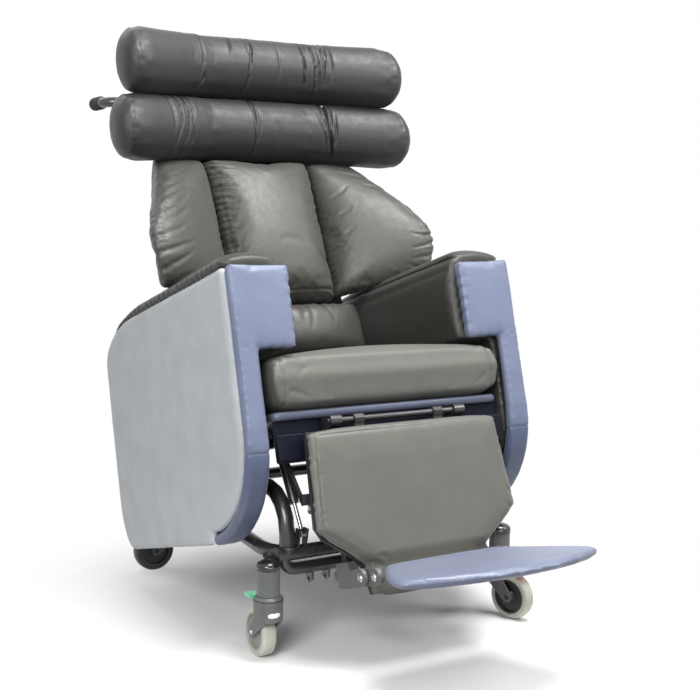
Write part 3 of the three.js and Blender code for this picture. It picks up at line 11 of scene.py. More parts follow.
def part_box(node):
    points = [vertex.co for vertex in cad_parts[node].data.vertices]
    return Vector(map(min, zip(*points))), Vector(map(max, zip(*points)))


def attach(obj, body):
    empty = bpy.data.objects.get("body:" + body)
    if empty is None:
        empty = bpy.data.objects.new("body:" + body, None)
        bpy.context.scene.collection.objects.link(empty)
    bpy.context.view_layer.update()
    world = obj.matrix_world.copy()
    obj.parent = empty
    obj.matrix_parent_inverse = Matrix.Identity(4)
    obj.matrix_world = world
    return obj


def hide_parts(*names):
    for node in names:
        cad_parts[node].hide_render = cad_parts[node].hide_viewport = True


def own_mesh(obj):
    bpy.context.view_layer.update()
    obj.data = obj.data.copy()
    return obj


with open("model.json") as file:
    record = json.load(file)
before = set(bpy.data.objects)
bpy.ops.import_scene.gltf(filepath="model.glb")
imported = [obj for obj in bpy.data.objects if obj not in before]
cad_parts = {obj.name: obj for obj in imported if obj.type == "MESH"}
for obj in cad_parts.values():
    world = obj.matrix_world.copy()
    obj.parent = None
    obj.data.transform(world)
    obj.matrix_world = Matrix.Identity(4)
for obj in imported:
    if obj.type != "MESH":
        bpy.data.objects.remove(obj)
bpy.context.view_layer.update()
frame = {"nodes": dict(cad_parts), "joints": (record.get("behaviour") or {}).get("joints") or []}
cad = frame["nodes"]
joints = {joint["name"]: joint for joint in frame["joints"]}
scene = bpy.context.scene
mm = 0.001

# Base frame: bent and welded steel tube in gloss black powder coat.
# The tubes keep the CAD shape with softened edges, and a rippled bead runs
# round each hoop foot where it is welded to the front cross tube.


def linear(code):
    shares = [int(code[i:i + 2], 16) / 255 for i in (1, 3, 5)]
    return [s / 12.92 if s <= 0.04045 else ((s + 0.055) / 1.055) ** 2.4 for s in shares] + [1.0]


def wire(tree, kind, inputs=(), **settings):
    """Adds one node, with its settings, and sets or joins its inputs."""
    made = tree.nodes.new(kind)
    for key, value in settings.items():
        setattr(made, key, value)
    for key, value in dict(inputs).items():
        if isinstance(value, bpy.types.NodeSocket):
            tree.links.new(value, made.inputs[key])
        else:
            made.inputs[key].default_value = value
    return made


def fresh(name):
    material = bpy.data.materials.new(name)
    material.use_nodes = True
    material.node_tree.nodes.clear()
    return material, material.node_tree


def powder_coat(name, colour, worn):
    # Powder coat gives soft reflections with a faint orange peel, rubbed paler on its edges
    material, tree = fresh(name)
    place = wire(tree, "ShaderNodeTexCoord").outputs["Object"]
    dust = wire(tree, "ShaderNodeTexNoise", {"Vector": place, "Scale": 1 / (55 * mm), "Detail": 3.0})
    haze = wire(tree, "ShaderNodeMapRange", {
        "Value": dust.outputs["Fac"], "From Min": 0.3, "From Max": 0.7, "To Min": 0.24, "To Max": 0.36,
    })
    corner = wire(tree, "ShaderNodeNewGeometry").outputs["Pointiness"]
    rub = wire(tree, "ShaderNodeMapRange", {"Value": corner, "From Min": 0.53, "From Max": 0.63, "To Max": 0.5})
    tint = wire(tree, "ShaderNodeMix", {0: rub.outputs[0], 6: linear(colour), 7: linear(worn)}, data_type="RGBA")
    peel = wire(tree, "ShaderNodeTexNoise", {"Vector": place, "Scale": 1 / (3.5 * mm), "Detail": 2.0})
    skin = wire(tree, "ShaderNodeBump", {"Height": peel.outputs["Fac"], "Strength": 0.05, "Distance": mm})
    shader = wire(tree, "ShaderNodeBsdfPrincipled", {
        "Base Color": tint.outputs[2], "Roughness": haze.outputs[0], "Coat Weight": 0.45, "Coat Roughness": 0.12,
        "Normal": skin.outputs[0],
    })
    wire(tree, "ShaderNodeOutputMaterial", {"Surface": shader.outputs[0]})
    return material


def added(name, mesh, *materials):
    piece = bpy.data.objects.new(name, mesh)
    scene.collection.objects.link(piece)
    for material in materials:
        mesh.materials.append(material)
    return piece


def smooth(mesh, angle=None):
    for face in mesh.polygons:
        face.use_smooth = True
    if angle is not None:
        mesh.set_sharp_from_angle(angle=math.radians(angle))


def carried(node, material, edge):
    """Keeps a CAD piece as it is and gives it a finish, rounded edges and smooth shading."""
    piece = cad[node]
    piece.data.materials.clear()
    piece.data.materials.append(material)
    smooth(piece.data)
    weld = piece.modifiers.new("Weld", "WELD")
    weld.merge_threshold = 0.02 * mm
    flat = piece.modifiers.new("Flat", "DECIMATE")
    flat.decimate_type = "DISSOLVE"
    flat.angle_limit = math.radians(1.0)
    bevel = piece.modifiers.new("Edges", "BEVEL")
    bevel.width = edge
    bevel.segments = 2
    bevel.limit_method = "ANGLE"
    bevel.angle_limit = math.radians(38)
    normals = piece.modifiers.new("Normals", "WEIGHTED_NORMAL")
    normals.keep_sharp = True
    return piece


black_paint = powder_coat("black_powder_coat", "#252527", "#4a4a4d")
for node in (
    "front_cross_tube", "rear_cross_tube", "side_rail_left", "side_rail_right", "pivot_hoop_left", "pivot_hoop_right",
):
    carried(node, black_paint, 0.5 * mm)

hoop_foot = 15.4 * mm
bead = 1.7 * mm
bead_ripples = 26
hoop_low, hoop_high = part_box("pivot_hoop_left")
rail_low, rail_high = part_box("side_rail_left")
cross_y = Vector(joints["castor_swivel_front_left"]["pos_m"]).y
foot_height = (rail_low.z + rail_high.z) / 2 + hoop_foot
for side, sign in (("left", 1), ("right", -1)):
    shape = bmesh.new()
    around, section_sides = 72, 8
    rings = []
    for i in range(around):
        angle = 2 * math.pi * i / around
        size = bead * (1 + 0.18 * math.sin(bead_ripples * angle))
        ring = []
        for k in range(section_sides):
            section = 2 * math.pi * k / section_sides
            reach = hoop_foot + size * math.cos(section)
            ring.append(shape.verts.new((reach * math.cos(angle), reach * math.sin(angle), size * math.sin(section))))
        rings.append(ring)
    for i in range(around):
        here, there = rings[i], rings[(i + 1) % around]
        for k in range(section_sides):
            after = (k + 1) % section_sides
            shape.faces.new((here[k], there[k], there[after], here[after]))
    bmesh.ops.recalc_face_normals(shape, faces=shape.faces)
    shape.transform(Matrix.Translation((sign * (hoop_high.x - hoop_foot), cross_y, foot_height)))
    mesh = bpy.data.meshes.new(f"weld_bead_{side}")
    shape.to_mesh(mesh)
    smooth(mesh)
    weld_bead = added(f"weld_bead_{side}", mesh, black_paint)
    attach(weld_bead, "base")

# Castor sleeves: satin grey nylon stems at the front corners of the frame.
# Each is turned, and a black moulded cap with a flattened dome closes its top.


def moulded(name, colour, worn, roughness, texture, coat=0.0, mottle=0.06):
    # Moulded plastic and rubber: an even colour with a fine spark-eroded texture and faint flow marks
    material, tree = fresh(name)
    place = wire(tree, "ShaderNodeTexCoord").outputs["Object"]
    base = linear(colour)
    flow = wire(tree, "ShaderNodeTexNoise", {"Vector": place, "Scale": 1 / (40 * mm), "Detail": 3.0})
    share = wire(tree, "ShaderNodeMapRange", {"Value": flow.outputs["Fac"], "From Min": 0.3, "From Max": 0.7})
    shades = wire(tree, "ShaderNodeMix", {
        0: share.outputs[0], 6: [c * (1 - mottle) for c in base[:3]] + [1.0],
        7: [min(1.0, c * (1 + mottle)) for c in base[:3]] + [1.0],
    }, data_type="RGBA")
    corner = wire(tree, "ShaderNodeNewGeometry").outputs["Pointiness"]
    rub = wire(tree, "ShaderNodeMapRange", {"Value": corner, "From Min": 0.53, "From Max": 0.63, "To Max": 0.6})
    tint = wire(tree, "ShaderNodeMix", {0: rub.outputs[0], 6: shades.outputs[2], 7: linear(worn)}, data_type="RGBA")
    haze = wire(tree, "ShaderNodeMapRange", {
        "Value": flow.outputs["Fac"], "From Min": 0.3, "From Max": 0.7, "To Min": roughness * 0.9,
        "To Max": roughness * 1.1,
    })
    # The real texture is finer than a pixel, so it is drawn as coarse as it needs to show
    pits = wire(tree, "ShaderNodeTexNoise", {"Vector": place, "Scale": 1 / (0.8 * mm), "Detail": 2.0})
    skin = wire(tree, "ShaderNodeBump", {"Height": pits.outputs["Fac"], "Strength": texture, "Distance": mm})
    shader = wire(tree, "ShaderNodeBsdfPrincipled", {
        "Base Color": tint.outputs[2], "Roughness": haze.outputs[0], "Coat Weight": coat, "Coat Roughness": 0.15,
        "Normal": skin.outputs[0],
    })
    wire(tree, "ShaderNodeOutputMaterial", {"Surface": shader.outputs[0]})
    return material


def lathe(profile, place, segments=56):
    """Turns an outline of radius and height into a smooth closed skin."""
    shape = bmesh.new()
    corners = [shape.verts.new((radius, 0.0, height)) for radius, height in profile]
    edges = [shape.edges.new(pair) for pair in zip(corners, corners[1:])]
    bmesh.ops.spin(
        shape, geom=corners + edges, cent=(0, 0, 0), axis=(0, 0, 1),
        angle=2 * math.pi, steps=segments, use_merge=True,
    )
    bmesh.ops.remove_doubles(shape, verts=shape.verts, dist=0.01 * mm)
    bmesh.ops.recalc_face_normals(shape, faces=shape.faces)
    shape.transform(place)
    mesh = bpy.data.meshes.new("turned")
    shape.to_mesh(mesh)
    smooth(mesh, 34)
    return mesh


sleeve_nylon = moulded("grey_nylon", "#5d605e", "#7d817f", 0.34, 0.1)
cap_plastic = moulded("black_cap_abs", "#1b1b1c", "#38383a", 0.24, 0.05, coat=0.4)
cap_height = 21.5 * mm
cap_band = 10.5 * mm
cap_stand = 0.6 * mm
for side in ("left", "right"):
    carried(f"castor_sleeve_{side}", sleeve_nylon, 0.6 * mm)
    low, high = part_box(f"castor_sleeve_{side}")
    reach = (high.x - low.x) / 2 + cap_stand
    top = high.z + cap_stand
    foot = top - cap_height
    cap = added(f"sleeve_cap_{side}", lathe([
        (0, top), (reach * 0.5, top - 1.2 * mm), (reach * 0.78, top - 4.0 * mm), (reach * 0.93, top - 7.4 * mm),
        (reach - 0.3 * mm, foot + cap_band + 0.6 * mm), (reach - 0.9 * mm, foot + cap_band), (reach, foot + cap_band - 0.8 * mm),
        (reach, foot + 1.4 * mm), (reach - 1.3 * mm, foot + 0.4 * mm), (reach - 1.5 * mm, foot + 3 * mm),
    ], Matrix.Translation(((low.x + high.x) / 2, (low.y + high.y) / 2, 0.0))), cap_plastic)
    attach(cap, "base")

# Castors: 100 mm wheels of cream rubber on dished centres, in swivelling nylon hoods.
# Each hood has a parting groove under its collar and a white oval insert in front,
# each axle a domed bolt at both ends. The front pair have coloured brake pedals.
wheel_radius = 50 * mm
tread_half = 14.6 * mm
centre_radius = 37.8 * mm
axle_radius = 6.2 * mm
centre_dish = 4.5 * mm
axle_half = 21.6 * mm
collar_top = 134 * mm
collar_radius = 30 * mm
oval_height = 100 * mm
oval_half_width = 14.5 * mm
oval_half_height = 5.2 * mm
oval_radius = 29.2 * mm
hood_nylon = moulded("dark_grey_nylon", "#5b5b59", "#747472", 0.38, 0.18)
black_nylon = moulded("black_nylon", "#232324", "#3d3d3f", 0.42, 0.18)
centre_nylon = moulded("grey_centre_nylon", "#83867f", "#9da096", 0.42, 0.18)
tread_rubber = moulded("cream_rubber", "#b3b2a7", "#c9c8be", 0.55, 0.3, mottle=0.1)
insert_abs = moulded("white_abs", "#f2f3f6", "#ffffff", 0.3, 0.05, coat=0.3, mottle=0.02)
green_abs = moulded("green_abs", "#5cc896", "#8fdcb4", 0.36, 0.08, coat=0.2, mottle=0.03)
red_abs = moulded("red_abs", "#e8353c", "#f26a6c", 0.36, 0.08, coat=0.2, mottle=0.03)


def bright_steel(name, colour, roughness):
    # Zinc plate: a bright metal with fine drawn lines along the part and slight cloudiness
    material, tree = fresh(name)
    place = wire(tree, "ShaderNodeTexCoord").outputs["Object"]
    drawn = wire(tree, "ShaderNodeMapping", {"Vector": place, "Scale": (1.0, 1.0, 0.03)})
    lines = wire(tree, "ShaderNodeTexNoise", {"Vector": drawn.outputs[0], "Scale": 1 / (1.2 * mm), "Detail": 2.0})
    cloud = wire(tree, "ShaderNodeTexNoise", {"Vector": place, "Scale": 1 / (18 * mm), "Detail": 3.0})
    base = linear(colour)
    tint = wire(tree, "ShaderNodeMix", {
        0: cloud.outputs["Fac"], 6: [c * 0.85 for c in base[:3]] + [1.0], 7: base,
    }, data_type="RGBA")
    haze = wire(tree, "ShaderNodeMapRange", {
        "Value": cloud.outputs["Fac"], "From Min": 0.3, "From Max": 0.7, "To Min": roughness * 0.8,
        "To Max": roughness * 1.2,
    })
    skin = wire(tree, "ShaderNodeBump", {"Height": lines.outputs["Fac"], "Strength": 0.12, "Distance": mm})
    shader = wire(tree, "ShaderNodeBsdfPrincipled", {
        "Base Color": tint.outputs[2], "Roughness": haze.outputs[0], "Metallic": 1.0, "Normal": skin.outputs[0],
    })
    wire(tree, "ShaderNodeOutputMaterial", {"Surface": shader.outputs[0]})
    return material


def placed(piece, body, slot, *nodes):
    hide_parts(*nodes)
    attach(piece, body)
    return piece


zinc_plate = bright_steel("zinc_plate", "#b6b9bc", 0.3)
for place in ("front_left", "front_right", "rear_left", "rear_right"):
    stem = Vector(joints[f"castor_swivel_{place}"]["pos_m"])
    roll = joints[f"castor_roll_{place}"]
    axle = Vector(roll["pos_m"])
    along = Vector(roll["axis"]).normalized()
    turned = Matrix.Translation(axle) @ Vector((0, 0, 1)).rotation_difference(along).to_matrix().to_4x4()
    shoulder = [
        (wheel_radius, 0.0), (wheel_radius - 0.2 * mm, tread_half * 0.45), (wheel_radius - 1 * mm, tread_half * 0.76),
        (wheel_radius - 3 * mm, tread_half * 0.93), (wheel_radius - 6 * mm, tread_half), (centre_radius, tread_half),
    ]
    tread_line = [(radius, -height) for radius, height in reversed(shoulder)] + shoulder[1:]
    # The rear treads are the same cream tyres as the front, given black nylon as painted shade for the shadow under the
    # seat
    tread = added(f"tread_{place}", lathe(tread_line, turned, 72), black_nylon if place.startswith("rear") else tread_rubber)
    placed(tread, f"wheel_{place}", "grey_tyre", f"tyre_{place}")
    face = [
        (centre_radius - 0.3 * mm, tread_half + 0.2 * mm), (centre_radius - 4 * mm, tread_half + 0.2 * mm),
        (centre_radius - 6 * mm, tread_half - centre_dish), (axle_radius + 8 * mm, tread_half - centre_dish),
        (axle_radius + 5 * mm, tread_half), (axle_radius, tread_half),
    ]
    centre_line = [(radius, -height) for radius, height in reversed(face)] + face
    centre_finish = centre_nylon if place == "front_right" else black_nylon
    centre = added(f"dished_centre_{place}", lathe(centre_line, turned, 64), centre_finish)
    placed(centre, f"wheel_{place}", "castor_plastic", f"wheel_centre_{place}")
    carried(f"castor_hood_{place}", hood_nylon, 0.9 * mm)
    groove = added(f"collar_line_{place}", lathe([
        (collar_radius - 0.4 * mm, collar_top - 8.4 * mm), (collar_radius + 0.4 * mm, collar_top - 7.8 * mm),
        (collar_radius + 0.4 * mm, collar_top - 6.6 * mm), (collar_radius - 0.4 * mm, collar_top - 6 * mm),
    ], Matrix.Translation((stem.x, stem.y, 0.0))), black_nylon)
    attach(groove, f"castor_{place}")
    ahead = math.atan2(stem.y - axle.y, stem.x - axle.x)
    oval = bmesh.new()
    oval_sides, oval_rings = 28, 4
    middle = oval.verts.new((
        stem.x + (oval_radius + 0.6 * mm) * math.cos(ahead), stem.y + (oval_radius + 0.6 * mm) * math.sin(ahead), oval_height,
    ))
    rings = []
    for k in range(1, oval_rings + 2):
        share = min(k, oval_rings) / oval_rings
        proud = 0.6 * mm * (1 - share ** 4) if k <= oval_rings else -1.6 * mm
        ring = []
        for i in range(oval_sides):
            turn = 2 * math.pi * i / oval_sides
            swing = ahead + share * oval_half_width * math.cos(turn) / oval_radius
            reach = oval_radius + proud
            ring.append(oval.verts.new((
                stem.x + reach * math.cos(swing), stem.y + reach * math.sin(swing),
                oval_height + share * oval_half_height * math.sin(turn),
            )))
        rings.append(ring)
    for i in range(oval_sides):
        after = (i + 1) % oval_sides
        oval.faces.new((middle, rings[0][i], rings[0][after]))
        for inner, outer in zip(rings, rings[1:]):
            oval.faces.new((inner[i], outer[i], outer[after], inner[after]))
    oval.faces.new(list(reversed(rings[-1])))
    bmesh.ops.recalc_face_normals(oval, faces=oval.faces)
    mesh = bpy.data.meshes.new(f"hood_insert_{place}")
    oval.to_mesh(mesh)
    smooth(mesh, 40)
    insert = added(f"hood_insert_{place}", mesh, insert_abs)
    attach(insert, f"castor_{place}")
    for end in (-1, 1):
        head = turned @ Matrix.Translation((0, 0, end * axle_half)) @ Matrix.Rotation(0 if end > 0 else math.pi, 4, "X")
        bolt = added(f"axle_bolt_{place}_{end + 1}", lathe([
            (0, 1.8 * mm), (3.4 * mm, 1.8 * mm), (5.4 * mm, 1.2 * mm), (6.2 * mm, 0), (6.2 * mm, -1.4 * mm),
        ], head, 24), zinc_plate if place == "front_right" else black_nylon)
        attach(bolt, f"castor_{place}")
for place, finish in (
    ("front_left", red_abs), ("front_right", green_abs), ("rear_left", black_nylon), ("rear_right", black_nylon),
):
    carried(f"brake_pedal_{place}", finish, 1.0 * mm)

# Seat frame: square rails and a cross tube in the same powder coat, on black axles.
# The tilt and legrest struts have black sleeves and bright rods.
for node in ("seat_rail_left", "seat_rail_right", "seat_cross_tube", "legrest_axle", "back_axle"):
    carried(node, black_paint, 0.5 * mm)
for side in ("left", "right"):
    carried(f"tilt_strut_cylinder_{side}", black_paint, 0.6 * mm)
    carried(f"tilt_strut_rod_{side}", zinc_plate, 0.4 * mm)
carried("legrest_strut_cylinder", black_paint, 0.6 * mm)
carried("legrest_strut_rod", zinc_plate, 0.4 * mm)

# Seat board: a moulded board whose blue vinyl nose shows under the cushion.
# Its cover is stretched tight, so it is only rounded and not blown up.
seat_pitch = -15.0


def tilted(joint, pitch):
    place = Vector(joints[joint]["pos_m"])
    return Matrix.Translation(place) @ Matrix.Rotation(math.radians(pitch), 4, "X")


def vinyl(name, colour, worn, roughness, crease=1.0):
    # Coated upholstery vinyl: a soft pebble grain, faint creasing from use and a low, uneven sheen, with painted shade
    # darkening its hollows and folds
    material, tree = fresh(name)
    place = wire(tree, "ShaderNodeTexCoord").outputs["Object"]
    base = linear(colour)
    cloud = wire(tree, "ShaderNodeTexNoise", {"Vector": place, "Scale": 1 / (70 * mm), "Detail": 4.0})
    share = wire(tree, "ShaderNodeMapRange", {"Value": cloud.outputs["Fac"], "From Min": 0.3, "From Max": 0.7})
    shades = wire(tree, "ShaderNodeMix", {
        0: share.outputs[0], 6: [c * 0.93 for c in base[:3]] + [1.0], 7: [min(1.0, c * 1.07) for c in base[:3]] + [1.0],
    }, data_type="RGBA")
    corner = wire(tree, "ShaderNodeNewGeometry").outputs["Pointiness"]
    rub = wire(tree, "ShaderNodeMapRange", {"Value": corner, "From Min": 0.52, "From Max": 0.62, "To Max": 0.5})
    tint = wire(tree, "ShaderNodeMix", {0: rub.outputs[0], 6: shades.outputs[2], 7: linear(worn)}, data_type="RGBA")
    # Painted shade: hollows and creases (low pointiness) and the folds that the cover was pushed into are darkened
    # towards a fifth of the base colour
    painted_crease_shade = wire(tree, "ShaderNodeMapRange", {
        "Value": corner, "From Min": 0.4, "From Max": 0.488, "To Min": 0.85, "To Max": 0.0,
    })
    painted_fold_shade = wire(tree, "ShaderNodeAttribute", attribute_name="fold_shade")
    shade = wire(tree, "ShaderNodeMath", {0: painted_crease_shade.outputs[0], 1: painted_fold_shade.outputs["Fac"]}, operation="MAXIMUM")
    painted_shade_tint = wire(tree, "ShaderNodeMix", {
        0: shade.outputs[0], 6: tint.outputs[2], 7: [c * 0.2 for c in base[:3]] + [1.0],
    }, data_type="RGBA")
    polish = wire(tree, "ShaderNodeTexNoise", {"Vector": place, "Scale": 1 / (16 * mm), "Detail": 3.0})
    haze = wire(tree, "ShaderNodeMapRange", {
        "Value": polish.outputs["Fac"], "From Min": 0.3, "From Max": 0.7, "To Min": roughness * 0.9,
        "To Max": roughness * 1.1,
    })
    pebble = wire(tree, "ShaderNodeTexVoronoi", {"Vector": place, "Scale": 1 / (1.6 * mm)})
    used = wire(tree, "ShaderNodeTexNoise", {"Vector": place, "Scale": 1 / (26 * mm), "Detail": 4.0, "Distortion": 0.6})
    creased = wire(tree, "ShaderNodeMath", {0: used.outputs["Fac"], 1: 5.0 * crease}, operation="MULTIPLY")
    relief = wire(tree, "ShaderNodeMath", {0: pebble.outputs["Distance"], 1: creased.outputs[0]}, operation="ADD")
    skin = wire(tree, "ShaderNodeBump", {"Height": relief.outputs[0], "Strength": 0.13, "Distance": mm})
    shader = wire(tree, "ShaderNodeBsdfPrincipled", {
        "Base Color": painted_shade_tint.outputs[2], "Roughness": haze.outputs[0], "Sheen Weight": 0.08, "Sheen Roughness": 0.4,
        "Normal": skin.outputs[0],
    })
    wire(tree, "ShaderNodeOutputMaterial", {"Surface": shader.outputs[0]})
    return material


def applied(piece):
    graph = bpy.context.evaluated_depsgraph_get()
    shape = bpy.data.meshes.new_from_object(piece.evaluated_get(graph))
    piece.modifiers.clear()
    piece.data = shape


def points_of(mesh):
    flat = np.empty(len(mesh.vertices) * 3)
    mesh.vertices.foreach_get("co", flat)
    return flat.reshape(-1, 3)


def normals_of(mesh):
    flat = np.empty(len(mesh.vertices) * 3, np.float32)
    mesh.vertex_normals.foreach_get("vector", flat)
    return flat.reshape(-1, 3).astype(float)


def laid(mesh, points):
    mesh.vertices.foreach_set("co", points.ravel())
    mesh.update()


def pushed(mesh, amounts):
    laid(mesh, points_of(mesh) + normals_of(mesh) * amounts[:, None])


def folded_with_painted_shade(mesh, amounts):
    """Pushes a cover in at its folds and keeps how deep each point went, as the weight of the painted shade in the
    fold.
    """
    pushed(mesh, amounts)
    depth = mesh.attributes.new("fold_shade", "FLOAT", "POINT")
    depth.data.foreach_set("value", (np.clip(-amounts / (4.5 * mm), 0, 1) ** 2).astype(np.float32))


def within(mesh, place):
    """The points of a cover in the tilted frame that it was cut in."""
    back = np.array(place.inverted())
    return points_of(mesh) @ back[:3, :3].T + back[:3, 3]


def facings(mesh, place):
    back = np.array(place.inverted())
    return normals_of(mesh) @ back[:3, :3].T


def returned(mesh, place, points):
    there = np.array(place)
    laid(mesh, points @ there[:3, :3].T + there[:3, 3])


def eased(mesh, rounds):
    """Rounds facets off and keeps the volume, by smoothing in and out in turn."""
    ends = np.empty(len(mesh.edges) * 2, np.int32)
    mesh.edges.foreach_get("vertices", ends)
    first, second = ends.reshape(-1, 2).T
    count = len(mesh.vertices)
    touching = np.bincount(ends, minlength=count)
    points = points_of(mesh)
    for share in (0.6, -0.62) * rounds:
        for axis in range(3):
            values = points[:, axis]
            total = np.bincount(first, values[second], count) + np.bincount(second, values[first], count)
            points[:, axis] = values + share * (total / touching - values)
    laid(mesh, points)


def bulk(mesh):
    corners = bmesh.new()
    corners.from_mesh(mesh)
    volume, area = abs(corners.calc_volume()), sum(face.calc_area() for face in corners.faces)
    corners.free()
    return volume, area


def cover(name, node, material, voxel, rounds, cap=0.0, pressure=4.0, held=None, slack=0.0, finer=1, full=1.0):
    """Remeshes a CAD pad, blows its cover up as cloth with its seams held, caps that, subdivides and fills it."""
    mesh = cad[node].data.copy()
    wanted = bulk(mesh)[0] * full
    mesh.materials.clear()
    piece = added(name, mesh, material)
    weld = piece.modifiers.new("Weld", "WELD")
    weld.merge_threshold = 0.02 * mm
    voxels = piece.modifiers.new("Voxels", "REMESH")
    voxels.mode = "VOXEL"
    voxels.voxel_size = voxel
    applied(piece)
    eased(piece.data, rounds)
    if cap:
        pushed(piece.data, np.full(len(piece.data.vertices), -0.35 * cap))
        rest = points_of(piece.data)
        if held is not None:
            group = piece.vertex_groups.new(name="held")
            for index, weight in enumerate(held(piece.data)):
                if weight > 0.01:
                    group.add([index], float(min(weight, 1.0)), "REPLACE")
        cloth = piece.modifiers.new("Cloth", "CLOTH")
        settings = cloth.settings
        settings.quality = 3
        settings.mass = 0.3
        settings.tension_stiffness = 18
        settings.compression_stiffness = 18
        settings.shear_stiffness = 8
        settings.bending_stiffness = 0.8
        settings.use_pressure = True
        settings.uniform_pressure_force = pressure
        settings.effector_weights.gravity = 0
        settings.shrink_min = -slack
        settings.shrink_max = -slack
        if held is not None:
            settings.vertex_group_mass = "held"
        cloth.point_cache.frame_start = 1
        cloth.point_cache.frame_end = 20
        for step in range(1, 21):
            scene.frame_set(step)
        applied(piece)
        scene.frame_set(1)
        piece.vertex_groups.clear()
        moved = points_of(piece.data) - rest
        far = np.linalg.norm(moved, axis=1)
        laid(piece.data, rest + moved * (np.minimum(far, cap) / np.maximum(far, 1e-9))[:, None])
    if finer:
        divide = piece.modifiers.new("Finer", "SUBSURF")
        divide.levels = finer
        divide.render_levels = finer
        applied(piece)
    volume, area = bulk(piece.data)
    pushed(piece.data, np.full(len(piece.data.vertices), max(0.0, wanted - volume) / area))
    smooth(piece.data)
    return piece


seat_frame = tilted("tilt_in_space", seat_pitch)
front_blue = vinyl("blue_vinyl", "#656d85", "#7e879f", 0.48, 0.5)
board_blue = vinyl("board_blue_vinyl", "#4b5064", "#8089a3", 0.36, 0.4)
board = cover("seat_board_cover", "seat_board", board_blue, 5 * mm, 2, finer=0)
placed(board, "seat_unit", "blue_vinyl", "seat_board")

# Apron: a navy vinyl flap that hangs from the seat's front edge in a loop
# and closes the space behind the top of the legrest.
# The flap's own navy is darkened nearly to black as painted shade for the dark space under the seat
navy_painted_dark = vinyl("navy_vinyl_painted_shade", "#10121f", "#20243c", 0.42, 0.8)
navy_painted_dark.node_tree.nodes["Principled BSDF"].inputs["Specular IOR Level"].default_value = 0.12
apron = cover("apron_flap", "seat_apron", navy_painted_dark, 1.6 * mm, 6, finer=0)
placed(apron, "seat_unit", "blue_vinyl", "seat_apron")
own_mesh(apron)

# Seat cushion: a box cushion of foam in charcoal vinyl, crowned on top.
# Boxing seams run down its front corners, with short pleats beside them.
charcoal = vinyl("charcoal_vinyl", "#575751", "#73726c", 0.52, 0.6)


def wobble(values, seed):
    turns = (1.0, 2.3, 4.1, 7.7)
    return sum(np.sin(values * turn + seed * (3.1 + turn)) / (i + 1) for i, turn in enumerate(turns)) / 2.08


def stroke(u, v, start, end, width, depth, bow=0.0, seed=0.0, sewn=False):
    """A fold: a groove with low lips that fades at both ends, or only away from a sewn start."""
    along_u, along_v = end[0] - start[0], end[1] - start[1]
    length = math.hypot(along_u, along_v)
    along_u, along_v = along_u / length, along_v / length
    share = ((u - start[0]) * along_u + (v - start[1]) * along_v) / length
    across = (v - start[1]) * along_u - (u - start[0]) * along_v
    across = across - bow * (1 - (2 * share - 1) ** 2) - width * 0.5 * wobble(share * 4, seed)
    inside = np.clip(share, 0, 1)
    fade = np.cos(np.pi / 2 * inside) ** 0.8 if sewn else np.sin(np.pi * inside) ** 0.7
    spread = width * (0.45 + 0.55 * fade)
    off = np.hypot(across, (share - inside) * length) / spread
    return fade * depth * (0.13 * np.exp(-((off - 2.0) / 0.9) ** 2) - np.exp(-off ** 2))


def gathers(along, away, pitch, reach, depth, seed=0.0):
    """Puckers that leave a seam at right angles, unevenly spaced and unevenly long."""
    phase = along / pitch * 2 * np.pi + 1.5 * wobble(along / pitch / 3, seed)
    narrow = (0.5 + 0.5 * np.cos(phase)) ** 2
    length = reach * (0.7 + 0.3 * wobble(along / pitch * 1.7, seed + 5))
    return -depth * (narrow - 0.3) * np.exp(-(away / length) ** 2) * (0.7 + 0.3 * wobble(along / pitch * 0.9, seed + 9))


def seam(distance, width, depth):
    return -depth * np.exp(-(distance / width) ** 2)


cushion = cover("seat_cushion_cover", "seat_cushion", charcoal, 6 * mm, 26)
here = within(cushion.data, seat_frame)
low, high = here.min(0), here.max(0)
side_gap = high[0] - np.abs(here[:, 0])
front_gap = here[:, 1] - low[1]
near_front = np.exp(-(np.maximum(0, front_gap - 18 * mm) / (16 * mm)) ** 2)
boxing = 22 * mm
amount = seam(side_gap - boxing, 2.4 * mm, 2.2 * mm) * near_front
amount += gathers(here[:, 2], side_gap - boxing, 24 * mm, 13 * mm, 0.8 * mm, 3) * near_front
crown = np.clip(facings(cushion.data, seat_frame)[:, 2], 0, 1)
amount += 8 * mm * crown * (1 - (here[:, 0] / high[0]) ** 2) * (1 - np.exp(-(front_gap / (50 * mm)) ** 2))
pleats = ((-228, 0.84, 36, -16), (-236, 0.3, 48, -24), (-214, 0.55, 22, 16), (236, 0.84, -30, -10), (232, 0.3, -28, -14))
for i, (x, rise, length, fall) in enumerate(pleats):
    height = low[2] + (high[2] - low[2]) * rise
    amount += near_front * stroke(
        here[:, 0], here[:, 2], (x * mm, height), ((x + length) * mm, height + fall * mm), 6 * mm, 1.3 * mm, 3 * mm, i, True,
    )
folded_with_painted_shade(cushion.data, amount)
placed(cushion, "seat_unit", "charcoal_vinyl", "seat_cushion")

# Side panels: pale blue-grey vinyl over padded board, with a darker blue lower front
# corner sewn in along a curve. The cover is tight, with faint rises and pull marks.
panel_vinyl = vinyl("pale_blue_vinyl", "#aeb3b7", "#b8bfc3", 0.48, 0.6)
corner_blue = vinyl("corner_blue_vinyl", "#525b75", "#6c7691", 0.42, 0.5)
arm_outer = 349 * mm
arm_inner = 209 * mm
arm_front_y = -398 * mm
arm_front_depth = 24 * mm
arm_top = 338 * mm
arm_pad_bottom = 168 * mm
arm_top_rear = 161 * mm
arm_rear = 357 * mm
arm_rear_top = 246 * mm
corner_seam = ((-418, -30), (-404, -52), (-389, -84), (-373, -125), (-332, -159), (-261, -186), (-172, -203))


def seam_height(along):
    return np.interp(along, [spot[0] * mm for spot in corner_seam], [spot[1] * mm for spot in corner_seam])


